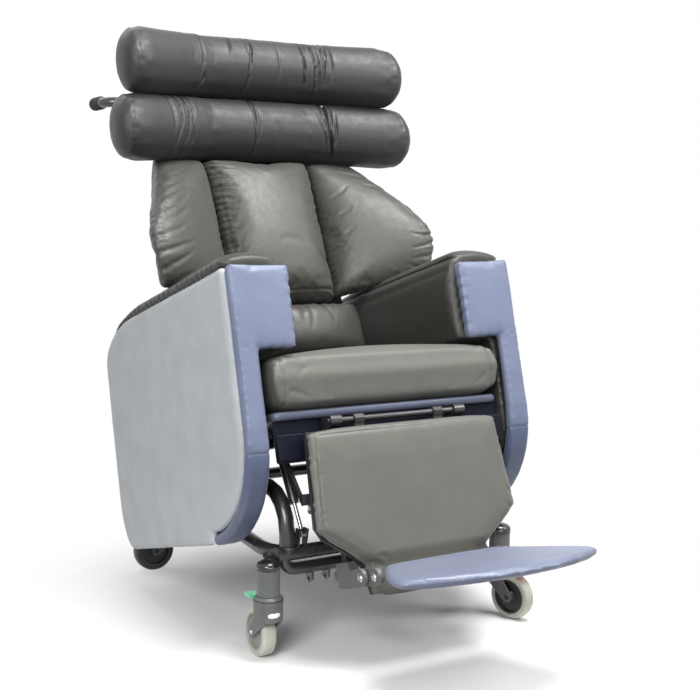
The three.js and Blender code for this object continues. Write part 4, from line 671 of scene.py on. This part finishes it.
def two_toned(mesh, place, second, lower):
    """Gives the faces that the test picks the second vinyl."""
    mesh.materials.append(second)
    centres = np.empty(len(mesh.polygons) * 3)
    mesh.polygons.foreach_get("center", centres)
    back = np.array(place.inverted())
    picked = lower(centres.reshape(-1, 3) @ back[:3, :3].T + back[:3, 3])
    mesh.polygons.foreach_set("material_index", picked.astype(np.int32))
    mesh.update()


def stitch_nodes():
    group = bpy.data.node_groups.new("Stitches", "GeometryNodeTree")
    face = group.interface
    face.new_socket("Geometry", in_out="INPUT", socket_type="NodeSocketGeometry")
    sockets = [
        face.new_socket("Pitch", in_out="INPUT", socket_type="NodeSocketFloat"),
        face.new_socket("Thread radius", in_out="INPUT", socket_type="NodeSocketFloat"),
        face.new_socket("Stitch share", in_out="INPUT", socket_type="NodeSocketFloat"),
        face.new_socket("Thread", in_out="INPUT", socket_type="NodeSocketMaterial"),
    ]
    face.new_socket("Geometry", in_out="OUTPUT", socket_type="NodeSocketGeometry")
    entry = wire(group, "NodeGroupInput").outputs
    spread = wire(group, "GeometryNodeResampleCurve", {"Curve": entry["Geometry"], "Length": entry["Pitch"]}, mode="LENGTH")
    spots = wire(group, "GeometryNodeCurveToPoints", {"Curve": spread.outputs[0]}, mode="EVALUATED")
    length = wire(group, "ShaderNodeMath", {0: entry["Pitch"], 1: entry["Stitch share"]}, operation="MULTIPLY")
    size = wire(group, "ShaderNodeCombineXYZ", {
        "X": entry["Thread radius"], "Y": entry["Thread radius"], "Z": length.outputs[0],
    })
    ball = wire(group, "GeometryNodeMeshIcoSphere", {"Radius": 1.0, "Subdivisions": 1})
    sewn = wire(group, "GeometryNodeInstanceOnPoints", {
        "Points": spots.outputs["Points"], "Instance": ball.outputs["Mesh"], "Rotation": spots.outputs["Rotation"],
        "Scale": size.outputs[0],
    })
    solid = wire(group, "GeometryNodeRealizeInstances", {"Geometry": sewn.outputs[0]})
    paint = wire(group, "GeometryNodeSetMaterial", {"Geometry": solid.outputs[0], "Material": entry["Thread"]})
    wire(group, "NodeGroupOutput", {"Geometry": paint.outputs[0]})
    return group, [socket.identifier for socket in sockets]


stitches, stitch_inputs = stitch_nodes()
dark_thread = moulded("dark_polyester_thread", "#2b2b2b", "#4a4a4a", 0.7, 0.3)


def stitched(name, route, cloth, direction, body, pitch, radius, share=0.36):
    """Drops a route onto a cover along a direction and sews it there."""
    tree = BVHTree.FromObject(cloth, bpy.context.evaluated_depsgraph_get())
    toward = Vector(direction).normalized()
    step = 3 * mm
    dense = []
    for first, second in zip(route, route[1:]):
        count = max(2, int((second - first).length / step))
        dense += [first.lerp(second, k / count) for k in range(count)]
    spots = []
    for spot in dense + [route[-1]]:
        hit = tree.ray_cast(spot - toward * 80 * mm, toward, 200 * mm)
        if hit[0] is not None:
            spots.append(hit[0] + hit[1] * radius * 0.3)
    line = bpy.data.curves.new(name, "CURVE")
    line.dimensions = "3D"
    spline = line.splines.new("POLY")
    spline.points.add(len(spots) - 1)
    for point, spot in zip(spline.points, spots):
        point.co = (*spot, 1.0)
    carrier = bpy.data.objects.new(name + "_line", line)
    scene.collection.objects.link(carrier)
    sewing = carrier.modifiers.new("Stitches", "NODES")
    sewing.node_group = stitches
    for socket, value in zip(stitch_inputs, (pitch, radius, share, dark_thread)):
        sewing[socket] = value
    graph = bpy.context.evaluated_depsgraph_get()
    mesh = bpy.data.meshes.new_from_object(carrier.evaluated_get(graph))
    bpy.data.objects.remove(carrier)
    thread = added(name, mesh)
    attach(thread, body)


pull_marks = (
    (-250, -190, -150, -110), (-60, -196, 70, -120), (220, -150, 300, -40), (-352, 40, -330, 190), (180, 90, 230, 220),
)
for side, sign in (("left", 1), ("right", -1)):
    panel = cover(f"side_panel_cover_{side}", f"side_panel_{side}", panel_vinyl, 5 * mm, 5)
    here = within(panel.data, seat_frame)
    along, height = here[:, 1], here[:, 2]
    amount = 0.7 * mm * wobble(along * 9 + height * 4, 1) + 0.5 * mm * wobble(height * 14 - along * 6, 4)
    for i, (u0, w0, u1, w1) in enumerate(pull_marks):
        amount += stroke(along, height, (u0 * mm, w0 * mm), (u1 * mm, w1 * mm), 20 * mm, 1.0 * mm, 14 * mm, i)
    in_reach = (along < -160 * mm) & (height < -20 * mm)
    amount += seam(height - seam_height(along), 3.5 * mm, 1.2 * mm) * in_reach
    pushed(panel.data, amount)
    two_toned(panel.data, seat_frame, corner_blue, lambda spots: (
        (spots[:, 1] < -172 * mm) & (spots[:, 2] < seam_height(spots[:, 1]))
    ))
    placed(panel, "seat_unit", "pale_blue_vinyl", f"side_panel_{side}")
    sewing_line = [seat_frame @ Vector((sign * arm_outer, u * mm, w * mm)) for u, w in corner_seam[2:]]
    stitched(
        f"corner_stitches_{side}", sewing_line, panel, (-sign, 0, 0), "seat_unit", 3.2 * mm, 0.5 * mm, 0.5,
    )

# Arm fronts: blue vinyl over foam, soft at the corners and puckered down the inner edge,
# topstitched along the top, with the darker blue sewn in below the seat.
corner_round = 17 * mm
heel_round = 11 * mm
corner_start = -34 * mm


def corner_pulled(points, across, up, corner, radius, out, over):
    """Rounds the corner of a section off to a radius."""
    centre = (corner[0] - out * radius, corner[1] - over * radius)
    u, v = points[:, across] - centre[0], points[:, up] - centre[1]
    far = np.hypot(u, v)
    picked = (u * out > 0) & (v * over > 0) & (far > radius)
    share = np.where(picked, radius / np.maximum(far, 1e-9), 1.0)
    points[:, across] = centre[0] + u * share
    points[:, up] = centre[1] + v * share


for side, sign in (("left", 1), ("right", -1)):
    front = cover(f"arm_front_cover_{side}", f"arm_front_{side}", front_blue, 5 * mm, 4, cap=2.5 * mm, pressure=3.0)
    here = within(front.data, seat_frame)
    corner_pulled(here, 0, 2, (sign * arm_inner, arm_top), corner_round, -sign, 1)
    corner_pulled(here, 0, 2, (sign * arm_inner, arm_pad_bottom), heel_round, -sign, -1)
    returned(front.data, seat_frame, here)
    inner = np.abs(here[:, 0]) - arm_inner
    upper = here[:, 2] > arm_pad_bottom
    amount = gathers(here[:, 2], inner, 25 * mm, 15 * mm, 2.2 * mm, 2 + sign) * upper
    amount += gathers(np.abs(here[:, 0]), here[:, 2] - arm_pad_bottom, 27 * mm, 12 * mm, 1.4 * mm, 6) * upper
    amount += seam(here[:, 2] - corner_start, 2.4 * mm, 1.6 * mm) * (here[:, 1] < arm_front_y + 60 * mm)
    amount += 0.5 * mm * wobble(here[:, 2] * 16 + here[:, 0] * 9, 3)
    pushed(front.data, amount)
    two_toned(front.data, seat_frame, corner_blue, lambda spots: spots[:, 2] < corner_start)
    placed(front, "seat_unit", "blue_vinyl", f"arm_front_{side}")
    forward = seat_frame.to_3x3() @ Vector((0, 1, 0))
    row = [
        seat_frame @ Vector((sign * x, arm_front_y, arm_top - inset))
        for x, inset in ((213 * mm, 9 * mm), (222 * mm, 4 * mm), (236 * mm, 2.6 * mm), (342 * mm, 2.6 * mm))
    ]
    stitched(f"arm_top_stitches_{side}", row, front, forward, "seat_unit", 3.4 * mm, 0.7 * mm)
    row = [seat_frame @ Vector((sign * x, arm_front_y, corner_start)) for x in (300 * mm, 342 * mm)]
    stitched(f"corner_row_stitches_{side}", row, front, forward, "seat_unit", 3.2 * mm, 0.5 * mm, 0.5)

# Arm pads: black vinyl over thick foam on the top and inner face of each arm,
# crowned on top, gathered where the cover turns down at the rear, sewn along the panel.
arm_black = vinyl("black_vinyl", "#2b2a27", "#45443f", 0.5, 0.6)
pad_crown = 22 * mm
pad_round = 26 * mm
inner_swell = 9 * mm
rear_fall = 0.5
rim_inset = 5 * mm
for side, sign in (("left", 1), ("right", -1)):
    pad = cover(f"arm_pad_cover_{side}", f"arm_pad_{side}", arm_black, 7 * mm, 6, cap=4 * mm, pressure=3.0)
    here = within(pad.data, seat_frame)
    corner_pulled(here, 0, 2, (sign * (arm_inner - 2 * mm), arm_top + 2 * mm), pad_round, -sign, 1)
    returned(pad.data, seat_frame, here)
    across, along, height = np.abs(here[:, 0]), here[:, 1], here[:, 2]
    upward = np.clip(facings(pad.data, seat_frame)[:, 2] * 1.4, 0, 1)
    rearward = np.clip(facings(pad.data, seat_frame)[:, 1] * 1.4, 0, 1) * (height > 120 * mm)
    spread = np.clip(1 - ((across - (arm_inner + arm_outer) / 2) / ((arm_outer - arm_inner) / 2)) ** 2, 0, 1) ** 0.6
    front_share = np.clip((along - arm_front_y - arm_front_depth) / (14 * mm), 0.25, 1)
    lower = 1 - rear_fall * np.clip((along - 120 * mm) / (90 * mm), 0, 1)
    amount = pad_crown * lower * spread * np.maximum(upward, rearward) * front_share
    inward = np.clip(-sign * facings(pad.data, seat_frame)[:, 0], 0, 1)
    inner_middle, inner_half = (arm_top + arm_pad_bottom) / 2, (arm_top - arm_pad_bottom) / 2
    amount += inner_swell * lower * inward * np.clip(1 - ((height - inner_middle) / inner_half) ** 2, 0, 1) * front_share
    edge = across - (arm_outer - 4 * mm)
    amount += gathers(along - height, edge, 14 * mm, 26 * mm, 1.8 * mm, 4) * np.clip((along - 60 * mm) / (120 * mm), 0, 1)
    amount += gathers(height, along - arm_front_y - arm_front_depth, 22 * mm, 12 * mm, 1.6 * mm, 8) * (across < arm_inner + 14 * mm)
    amount += 0.6 * mm * wobble(along * 8 + height * 5, 7)
    pushed(pad.data, amount)
    placed(pad, "seat_unit", "black_vinyl", f"arm_pad_{side}")
    quarter = 12
    rim = [(arm_front_y + arm_front_depth + 8 * mm, arm_top - rim_inset)] + [
        (
            arm_top_rear + (arm_rear - arm_top_rear - rim_inset) * math.sin(math.pi / 2 * k / quarter),
            arm_rear_top + (arm_top - arm_rear_top - rim_inset) * math.cos(math.pi / 2 * k / quarter),
        )
        for k in range(quarter)
    ]
    route = [seat_frame @ Vector((sign * arm_outer, u, w)) for u, w in rim]
    stitched(f"arm_rim_stitches_{side}", route, pad, (-sign, 0, 0), "seat_unit", 4 * mm, 0.7 * mm)

# Back frame: a moulded black shell on bent black uprights that end in push handles
# with ribbed foam grips.
back_pitch = -26.6
grip_foam = moulded("black_foam", "#252528", "#3c3c40", 0.8, 0.6)
shell_abs = moulded("black_abs", "#202122", "#3b3c3e", 0.42, 0.2)
carried("back_shell", shell_abs, 2.0 * mm)
grip_ribs = 7
rib_depth = 1.2 * mm
for side in ("left", "right"):
    carried(f"back_upright_{side}", black_paint, 0.5 * mm)
    low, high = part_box(f"push_grip_{side}")
    length = high.y - low.y
    reach = (high.x - low.x) / 2 - 0.4 * mm
    profile = [(0, -length / 2), (reach * 0.8, -length / 2), (reach, -length / 2 + 2.5 * mm)]
    for k in range(grip_ribs):
        at = -length / 2 + 5 * mm + (length - 10 * mm) * k / grip_ribs
        profile += [
            (reach, at), (reach - rib_depth, at + 1.4 * mm), (reach - rib_depth, at + 2.6 * mm), (reach, at + 4 * mm),
        ]
    profile += [(reach, length / 2 - 2.5 * mm), (reach * 0.8, length / 2), (0, length / 2)]
    lying = Matrix.Translation((low + high) / 2) @ Matrix.Rotation(math.radians(-90), 4, "X")
    grip = added(f"ribbed_grip_{side}", lathe(profile, lying, 40), grip_foam)
    placed(grip, "back", "black_plastic", f"push_grip_{side}")

# Back cushion, centre: loosely filled, so its cover is gathered hard along one seam,
# lightly along the other, and hemmed across the bottom.
# The back cushions use the seat's charcoal vinyl with a darker base colour as painted shade
charcoal_with_painted_shade = vinyl("charcoal_vinyl_painted_shade", "#3d3c39", "#5b5954", 0.47)
back_frame = tilted("back_recline", back_pitch)
seam_half = 140 * mm


def centre_held(mesh):
    spots = within(mesh, back_frame)
    rear = np.clip((spots[:, 1] + 100 * mm) / (10 * mm), 0, 1)
    return np.maximum(rear, np.exp(-((np.abs(spots[:, 0]) - seam_half) / (4 * mm)) ** 2) * (spots[:, 1] > -150 * mm))


centre = cover("back_centre_cover", "back_cushion_centre", charcoal_with_painted_shade, 6 * mm, 14, 14 * mm, 5.0, centre_held, 0.01)
here = within(centre.data, back_frame)
x, z = here[:, 0], here[:, 2]
hem = z.min() + 20 * mm
facing = np.clip(-facings(centre.data, back_frame)[:, 1] * 2, 0, 1)
amount = gathers(z, seam_half - x, 17 * mm, 9 * mm, 1.8 * mm, 3)
amount += gathers(x, z.max() - z, 26 * mm, 22 * mm, 1.2 * mm, 5)
amount += seam(z - hem, 2.6 * mm, 2.4 * mm) * facing
gather_pitch = 16.6 * mm
for k in range(16):
    start = z.max() - 14 * mm - k * gather_pitch + 3 * mm * math.sin(k * 2.7)
    length = (56 - 1.7 * k + 7 * math.sin(k * 1.9)) * mm
    fall = (20 - 0.9 * k) * mm
    depth = (4.6 - 0.16 * k) * mm
    amount += facing * stroke(
        x, z, (-seam_half - 2 * mm, start), (-seam_half + length, start - fall), 4.2 * mm, depth, 3 * mm, k, True,
    )
for k in range(7):
    start = z.max() - 20 * mm - k * 30 * mm
    amount += facing * stroke(x, z, (seam_half, start), (seam_half - 26 * mm, start - 8 * mm), 5 * mm, 1.8 * mm, 2 * mm, k, True)
for i, (x0, z0, x1, z1) in enumerate(((-90, 330, -20, 352), (30, 640, 90, 628), (60, 312, 120, 330), (-20, 420, 60, 410))):
    amount += facing * stroke(x, z, (x0 * mm, z0 * mm), (x1 * mm, z1 * mm), 10 * mm, 1.2 * mm, 4 * mm, i)
folded_with_painted_shade(centre.data, amount)
placed(centre, "back", "charcoal_vinyl", "back_cushion_centre")

# Wing cushions: one on each side, thick and soft, tapering to a point at the arm.
# Long soft folds fan in from the outer edge, with deeper ones at the tip,
# and short puckers along the seams.
wing_tip_folds = (
    (366, 322, 262, 372, 7, 3.6), (368, 350, 250, 402, 7, 3.2), (356, 300, 262, 330, 6, 3.4), (338, 288, 232, 312, 6, 3.0),
    (366, 384, 262, 440, 8, 2.6), (356, 420, 250, 480, 8, 2.2), (340, 458, 240, 524, 8, 2.0), (322, 496, 232, 560, 8, 1.8),
    (300, 536, 216, 596, 8, 1.6), (276, 576, 200, 626, 7, 1.6), (244, 616, 180, 646, 7, 1.4), (216, 330, 170, 342, 8, 1.4),
)
wing_edge_folds = (
    (366, 396, 306, 402, 5, 3.4), (368, 376, 300, 366, 5, 3.4), (362, 352, 300, 340, 5, 3.2), (346, 322, 292, 334, 5, 2.8),
    (316, 302, 268, 324, 5, 2.6), (270, 610, 190, 650, 7, 2.0), (244, 628, 172, 650, 6, 1.8), (292, 580, 206, 618, 8, 1.8),
    (316, 540, 240, 566, 8, 1.6), (246, 298, 206, 322, 5, 2.0), (206, 566, 150, 536, 6, 2.0), (200, 506, 150, 486, 6, 1.8),
    (196, 450, 150, 436, 6, 1.6),
)
for side, sign, folds in (("left", 1, wing_edge_folds), ("right", -1, wing_tip_folds)):

    def wing_held(mesh):
        return np.exp(-((np.abs(within(mesh, back_frame)[:, 0]) - seam_half) / (5 * mm)) ** 2)

    wing = cover(f"wing_cover_{side}", f"wing_cushion_{side}", charcoal_with_painted_shade, 6 * mm, 14, 11 * mm, 4.0, wing_held, 0.01)
    here = within(wing.data, back_frame)
    out, z = sign * here[:, 0], here[:, 2]
    facing = np.clip(0.6 - facings(wing.data, back_frame)[:, 1] * 1.5, 0, 1)
    amount = gathers(z, out - seam_half, 17 * mm, 10 * mm, 1.8 * mm, 4 + sign)
    amount += gathers(z, out.max() - out, 17 * mm, 26 * mm, 1.8 * mm, 7 + sign)
    amount += gathers(out, z - z.min(), 17 * mm, 22 * mm, 1.8 * mm, 2 + sign)
    outward = np.clip(sign * facings(wing.data, back_frame)[:, 0], 0, 1)
    amount += 8 * mm * np.clip(-facings(wing.data, back_frame)[:, 2], 0, 1)
    amount += 9 * mm * outward * np.exp(-((z - 400 * mm) / (130 * mm)) ** 2)
    for i, (x0, z0, x1, z1, width, depth) in enumerate(folds):
        amount += facing * stroke(
            out, z, (x0 * mm, z0 * mm), (x1 * mm, z1 * mm), width * mm * 0.8, depth * mm, 6 * mm, i, i < 5,
        )
    folded_with_painted_shade(wing.data, amount)
    placed(wing, "back", "charcoal_vinyl", f"wing_cushion_{side}")

# Lumbar cushion: a low soft roll above the seat, with vertical folds from its top seam.
lumbar = cover("lumbar_cover", "lumbar_cushion", charcoal_with_painted_shade, 6 * mm, 12, 8 * mm, 4.0)
here = within(lumbar.data, back_frame)
x, z = here[:, 0], here[:, 2]
amount = gathers(x, z - z.max(), 30 * mm, 40 * mm, 2.0 * mm, 3)
for i, (x0, x1, fall, depth) in enumerate((
    (-66, -52, 84, 1.8), (-16, -2, 92, 2.4), (20, 22, 70, 2.0), (44, 36, 84, 2.2), (92, 106, 70, 1.8), (-118, -108, 70, 1.8),
)):
    top = z.max() - 4 * mm
    amount += stroke(x, z, (x0 * mm, top), (x1 * mm, top - fall * mm), 8 * mm, depth * mm, 6 * mm, i, True)
folded_with_painted_shade(lumbar.data, amount)
placed(lumbar, "back", "charcoal_vinyl", "lumbar_cushion")

# Head rolls: two long soft bolsters, parted into channels by ring folds darkened with painted shade,
# and closed by end caps that are gathered into a round seam. Each fold runs from
# one place (across the chair, turn round the roll) to another, with a width and a depth.
# The rolls use the charcoal vinyl with a much darker base colour: painted shade, not a different vinyl
roll_painted_shade_vinyl = vinyl("roll_painted_shade_vinyl", "#201f1d", "#393733", 0.52)
roll_straight = 150 * mm
roll_sweep = 90 * mm
roll_drop = 55 * mm
roll_radius = 76 * mm
roll_end = 34 * mm
rolls = {
    "upper": (-206.5 * mm, 884 * mm, 363 * mm, (
        (-190, 84, -170, 20, 3.0, 4.4), (-180, 90, -166, 50, 2.6, 4.6), (-166, 60, -160, -10, 3.4, 7.0),
        (-160, 10, -176, -88, 3.0, 6.0), (-174, 40, -178, -50, 3.6, 3.4), (-84, 86, -78, -20, 3.4, 3.4),
        (-76, 60, -80, 0, 2.6, 2.4), (-28, 88, -20, 24, 3.2, 6.4), (-21, 40, -32, -40, 3.0, 6.8),
        (-32, -20, -44, -86, 3.2, 5.4), (-36, 40, -32, -10, 2.6, 3.2), (40, 80, 52, 20, 4.0, 2.2),
        (52, 30, 44, -60, 3.6, 2.6), (118, 88, 116, 0, 3.0, 6.4), (116, 20, 118, -84, 3.0, 6.0),
        (134, 88, 144, 0, 3.0, 6.2), (143, 20, 150, -88, 3.6, 7.6), (126, 70, 130, 10, 2.6, 3.4),
        (158, 60, 152, -40, 3.0, 5.0), (170, 84, 160, 0, 2.8, 4.2), (182, 88, 190, 10, 3.0, 6.0),
        (190, 30, 180, -60, 3.0, 5.0), (200, 70, 192, -20, 3.0, 3.6), (174, 20, 168, -70, 2.8, 4.4),
        (206, 50, 200, -50, 3.6, 2.4),
    )),
    "lower": (-148 * mm, 744 * mm, 384 * mm, (
        (-278, 70, -262, -40, 4.0, 3.0), (-262, 88, -242, 10, 3.0, 6.2), (-242, 30, -256, -88, 3.2, 6.6),
        (-240, 88, -222, 20, 3.0, 6.0), (-222, 40, -228, -88, 3.2, 6.4), (-214, 60, -208, -30, 3.6, 3.4),
        (-204, -10, -212, -80, 3.0, 2.6), (-30, 88, -24, 20, 3.0, 6.0), (-24, 40, -20, -50, 3.0, 6.8),
        (-20, -20, -24, -86, 3.0, 5.0), (-14, 70, -18, 10, 3.4, 3.2), (-8, 20, -12, -50, 3.6, 2.4),
        (176, 88, 190, 30, 3.0, 6.0), (206, 88, 194, 34, 3.0, 6.0), (193, 60, 192, -20, 3.6, 8.0),
        (193, 0, 196, -88, 3.8, 8.0), (180, 50, 188, -20, 3.0, 4.6), (206, 40, 200, -30, 3.0, 4.6),
        (174, 20, 186, -70, 3.4, 3.6), (216, 20, 204, -60, 3.4, 3.8), (60, 84, 66, 20, 5.0, 1.8), (40, 0, 44, -60, 6.0, 1.4),
    )),
}
for roll_name, (roll_y, roll_z, roll_half, folds) in rolls.items():
    roll = cover(f"head_roll_cover_{roll_name}", f"head_roll_{roll_name}", roll_painted_shade_vinyl, 6 * mm, 7, 5 * mm, 4.0, full=1.17)
    here = within(roll.data, back_frame)
    bend = np.maximum(0, (np.abs(here[:, 0]) - roll_straight) / (roll_half - roll_straight))
    off_y = here[:, 1] - (roll_y - roll_sweep * bend)
    off_z = here[:, 2] - (roll_z - roll_drop * bend)
    arc = np.arctan2(off_z, -off_y) * roll_radius
    turned = np.sign(here[:, 0]) * (np.abs(here[:, 0]) > roll_straight)
    x = here[:, 0] - turned * 0.25 * off_y
    end_gap = roll_half - roll_end - np.abs(here[:, 0])
    end_share = np.clip(-end_gap / roll_end, 0, 1)
    radial = np.clip(np.hypot(off_y, off_z) / roll_radius, 0, 1)
    amount = 2 * mm * np.sin(np.pi * end_share) * radial
    amount += gathers(arc, end_gap + 8 * mm, 40 * mm, 14 * mm, 2.6 * mm, 2) + seam(end_gap + 6 * mm, 3 * mm, 1.2 * mm)
    for i, (x0, turn0, x1, turn1, width, depth) in enumerate(folds):
        start = (x0 * mm, math.radians(turn0) * roll_radius)
        end = (x1 * mm, math.radians(turn1) * roll_radius)
        amount += stroke(x, arc, start, end, width * mm, 1.25 * depth * mm, 4 * mm, i)
    amount += 1.0 * mm * wobble(x * 20, 3) * (0.6 + 0.4 * wobble(arc * 20, 2))
    folded_with_painted_shade(roll.data, amount)
    placed(roll, "back", "charcoal_vinyl", f"head_roll_{roll_name}")

# Legrest: a firm pad in charcoal vinyl, boxed at the side and topstitched inside its edge,
# on a black board.
legrest_pitch = -19.5
legrest_frame = tilted("legrest_elevation", legrest_pitch)
legrest_bottom, neck_height, wide_height, legrest_top = -359 * mm, -286 * mm, -220 * mm, -13 * mm
boxing_inset = 17 * mm
carried("legrest_board", shell_abs, 0.8 * mm)
pad = cover("legrest_pad_cover", "legrest_pad", charcoal, 5 * mm, 4, cap=3 * mm, pressure=3.0)
here = within(pad.data, legrest_frame)
x, z = here[:, 0], here[:, 2]
half = np.interp(
    z, (legrest_bottom, neck_height, wide_height, legrest_top), (141 * mm, 152 * mm, 246 * mm, 232 * mm),
)
edge_gap = np.minimum(half - np.abs(x), legrest_top - z)
facing = np.clip(-facings(pad.data, legrest_frame)[:, 1] * 3 - 1, 0, 1)
amount = seam(edge_gap - boxing_inset, 2.6 * mm, 1.6 * mm) * facing * np.clip(-x / (80 * mm), 0, 1)
amount += 3.0 * mm * facing * np.clip(edge_gap / (70 * mm), 0, 1) * (1 - np.clip(edge_gap / (400 * mm), 0, 1))
amount += 0.4 * mm * wobble(x * 13 + z * 7, 2)
neck_folds = (
    (-146, -284, -104, -298, 4.6, 3.6), (-150, -300, -112, -316, 4.2, 2.6), (-120, -276, -96, -282, 4, 2.0),
    (238, -196, 214, -172, 5, 2.4), (230, -226, 204, -206, 5, 1.8),
)
for i, (x0, z0, x1, z1, width, depth) in enumerate(neck_folds):
    amount += facing * stroke(x, z, (x0 * mm, z0 * mm), (x1 * mm, z1 * mm), width * mm, depth * mm, 3 * mm, i)
pushed(pad.data, amount)
placed(pad, "legrest", "charcoal_vinyl", "legrest_pad")
sewn = [(60, -29), (-150, -29), (-204, -30), (-213, -36), (-217, -60), (-222, -120), (-228, -196), (-222, -214), (-150, -264)]
route = [legrest_frame @ Vector((u * mm, -30 * mm, w * mm)) for u, w in sewn]
stitched(
    "legrest_stitches", route, pad, legrest_frame.to_3x3() @ Vector((0, 1, 0)), "legrest", 3.4 * mm, 0.6 * mm,
)

# Footplate: grey nylon carrier and bracket, joined by two bright bolts on each side,
# hold a thin tapered plate in smooth blue vinyl.
footplate_pitch = -10.3
footplate_frame = tilted("footplate_flip", footplate_pitch)
carried("footplate_carrier", hood_nylon, 0.9 * mm)
carried("footplate_bracket", hood_nylon, 0.8 * mm)
polished_steel = bright_steel("polished_steel", "#cdd0d4", 0.2)
hinge = Vector(joints["footplate_flip"]["pos_m"])
carrier_low, carrier_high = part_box("footplate_carrier")
bolt_faces = ((Vector((carrier_high.x, 36 * mm, -10 * mm)), 9.4 * mm), (Vector((159.6 * mm, 0.0, 0.0)), 9.4 * mm))
for k, (offset, washer) in enumerate(bolt_faces):
    for sign in (-1, 1):
        spot = Vector((sign * offset.x, hinge.y + offset.y, hinge.z + offset.z))
        outward = Matrix.Translation(spot) @ Matrix.Rotation(math.radians(sign * 90), 4, "Y")
        bolt = added(f"hinge_bolt_{k}_{sign + 1}", lathe([
            (0, 1.2 * mm), (2.6 * mm, 1.2 * mm), (2.9 * mm, 2.6 * mm), (6.2 * mm, 2.4 * mm), (7.4 * mm, 1.0 * mm),
            (7.4 * mm, 0.4 * mm), (washer, 0.2 * mm), (washer, -1.4 * mm),
        ], outward, 32), polished_steel)
        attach(bolt, "footplate_carrier")
plate_blue = vinyl("footplate_vinyl", "#6a7187", "#8c96b4", 0.36, 0.4)
plate = cover("footplate_cover", "footplate_pad", plate_blue, 4 * mm, 5)
here = within(plate.data, footplate_frame)
pushed(plate.data, 0.3 * mm * wobble(here[:, 0] * 20 + here[:, 1] * 12, 5))
placed(plate, "footplate", "blue_vinyl", "footplate_pad")

# Studio: a pale floor that keeps the shadow and fades into the white background,
# even grey light all round, a large key from the front left and soft boxes above and behind.
floor_half = 6.0
floor_mesh = bpy.data.meshes.new("floor")
floor_corners = [(-floor_half, -floor_half, 0), (floor_half, -floor_half, 0), (floor_half, floor_half, 0), (-floor_half, floor_half, 0)]
floor_mesh.from_pydata(floor_corners, [], [(0, 1, 2, 3)])
paper, tree = fresh("floor_paper")
reach = wire(tree, "ShaderNodeVectorMath", {
    0: wire(tree, "ShaderNodeTexCoord").outputs["Object"],
}, operation="LENGTH")
fade = wire(tree, "ShaderNodeMapRange", {
    "Value": reach.outputs["Value"], "From Min": 0.3, "From Max": 0.9,
}, interpolation_type="SMOOTHSTEP")
matt = wire(tree, "ShaderNodeBsdfPrincipled", {
    "Base Color": (0.93, 0.93, 0.93, 1), "Roughness": 0.9, "Specular IOR Level": 0.0,
})
clear = wire(tree, "ShaderNodeBsdfTransparent")
blend = wire(tree, "ShaderNodeMixShader", {0: fade.outputs[0], 1: matt.outputs[0], 2: clear.outputs[0]})
wire(tree, "ShaderNodeOutputMaterial", {"Surface": blend.outputs[0]})
added("floor", floor_mesh, paper)

world = bpy.data.worlds.new("studio")
scene.world = world
world.use_nodes = True
tree = world.node_tree
tree.nodes.clear()
room = wire(tree, "ShaderNodeBackground", {"Color": (1, 1, 1, 1), "Strength": 0.29})
white = wire(tree, "ShaderNodeBackground", {"Color": (1, 1, 1, 1), "Strength": 1.0})
path = wire(tree, "ShaderNodeLightPath").outputs
clear_seen = wire(tree, "ShaderNodeMath", {0: path["Is Camera Ray"], 1: path["Is Transmission Ray"]}, operation="MAXIMUM")
seen = wire(tree, "ShaderNodeMath", {0: clear_seen.outputs[0], 1: path["Is Glossy Ray"]}, operation="MAXIMUM")
view = wire(tree, "ShaderNodeMixShader", {0: seen.outputs[0], 1: room.outputs[0], 2: white.outputs[0]})
wire(tree, "ShaderNodeOutputWorld", {"Surface": view.outputs[0]})


def softbox(name, place, aim, width, height, power):
    light = bpy.data.lights.new(name, "AREA")
    light.shape = "RECTANGLE"
    light.size = width
    light.size_y = height
    light.energy = power
    lamp = bpy.data.objects.new(name, light)
    scene.collection.objects.link(lamp)
    lamp.location = place
    lamp.rotation_euler = (Vector(aim) - Vector(place)).to_track_quat("-Z", "Y").to_euler()


softbox("key", (-2.2, -2.2, 1.9), (0, 0, 0.4), 1.4, 1.4, 84)
softbox("top", (0.3, -0.75, 2.9), (0, -0.2, 0.6), 1.4, 1.2, 108)
softbox("rear", (-0.6, 2.2, 2.8), (0, 0, 0.7), 2.4, 1.2, 14)
softbox("fill", (1.9, -1.5, 2.5), (-0.1, 0, 0.9), 1.0, 1.0, 30)

# Camera: stands where the photograph was taken from, level with the chair's back.
azimuth = math.radians(-30.75)
pitch = math.radians(6.02)
lean = math.radians(0.34)
look = Vector((-math.sin(azimuth) * math.cos(pitch), math.cos(azimuth) * math.cos(pitch), -math.sin(pitch)))
level = Vector((math.cos(azimuth), math.sin(azimuth), 0))
upward = level.cross(look)
sideways = math.cos(lean) * level + math.sin(lean) * upward
upright = math.cos(lean) * upward - math.sin(lean) * level
lens = bpy.data.cameras.new("camera")
lens.sensor_width = 36.0
lens.lens = 60.65
camera = bpy.data.objects.new("camera", lens)
scene.collection.objects.link(camera)
stand = Matrix.Translation((-1.3101, -2.22928, 0.8715))
camera.matrix_world = stand @ Matrix((sideways, upright, -look)).transposed().to_4x4()
scene.camera = camera
scene.view_settings.view_transform = "Standard"
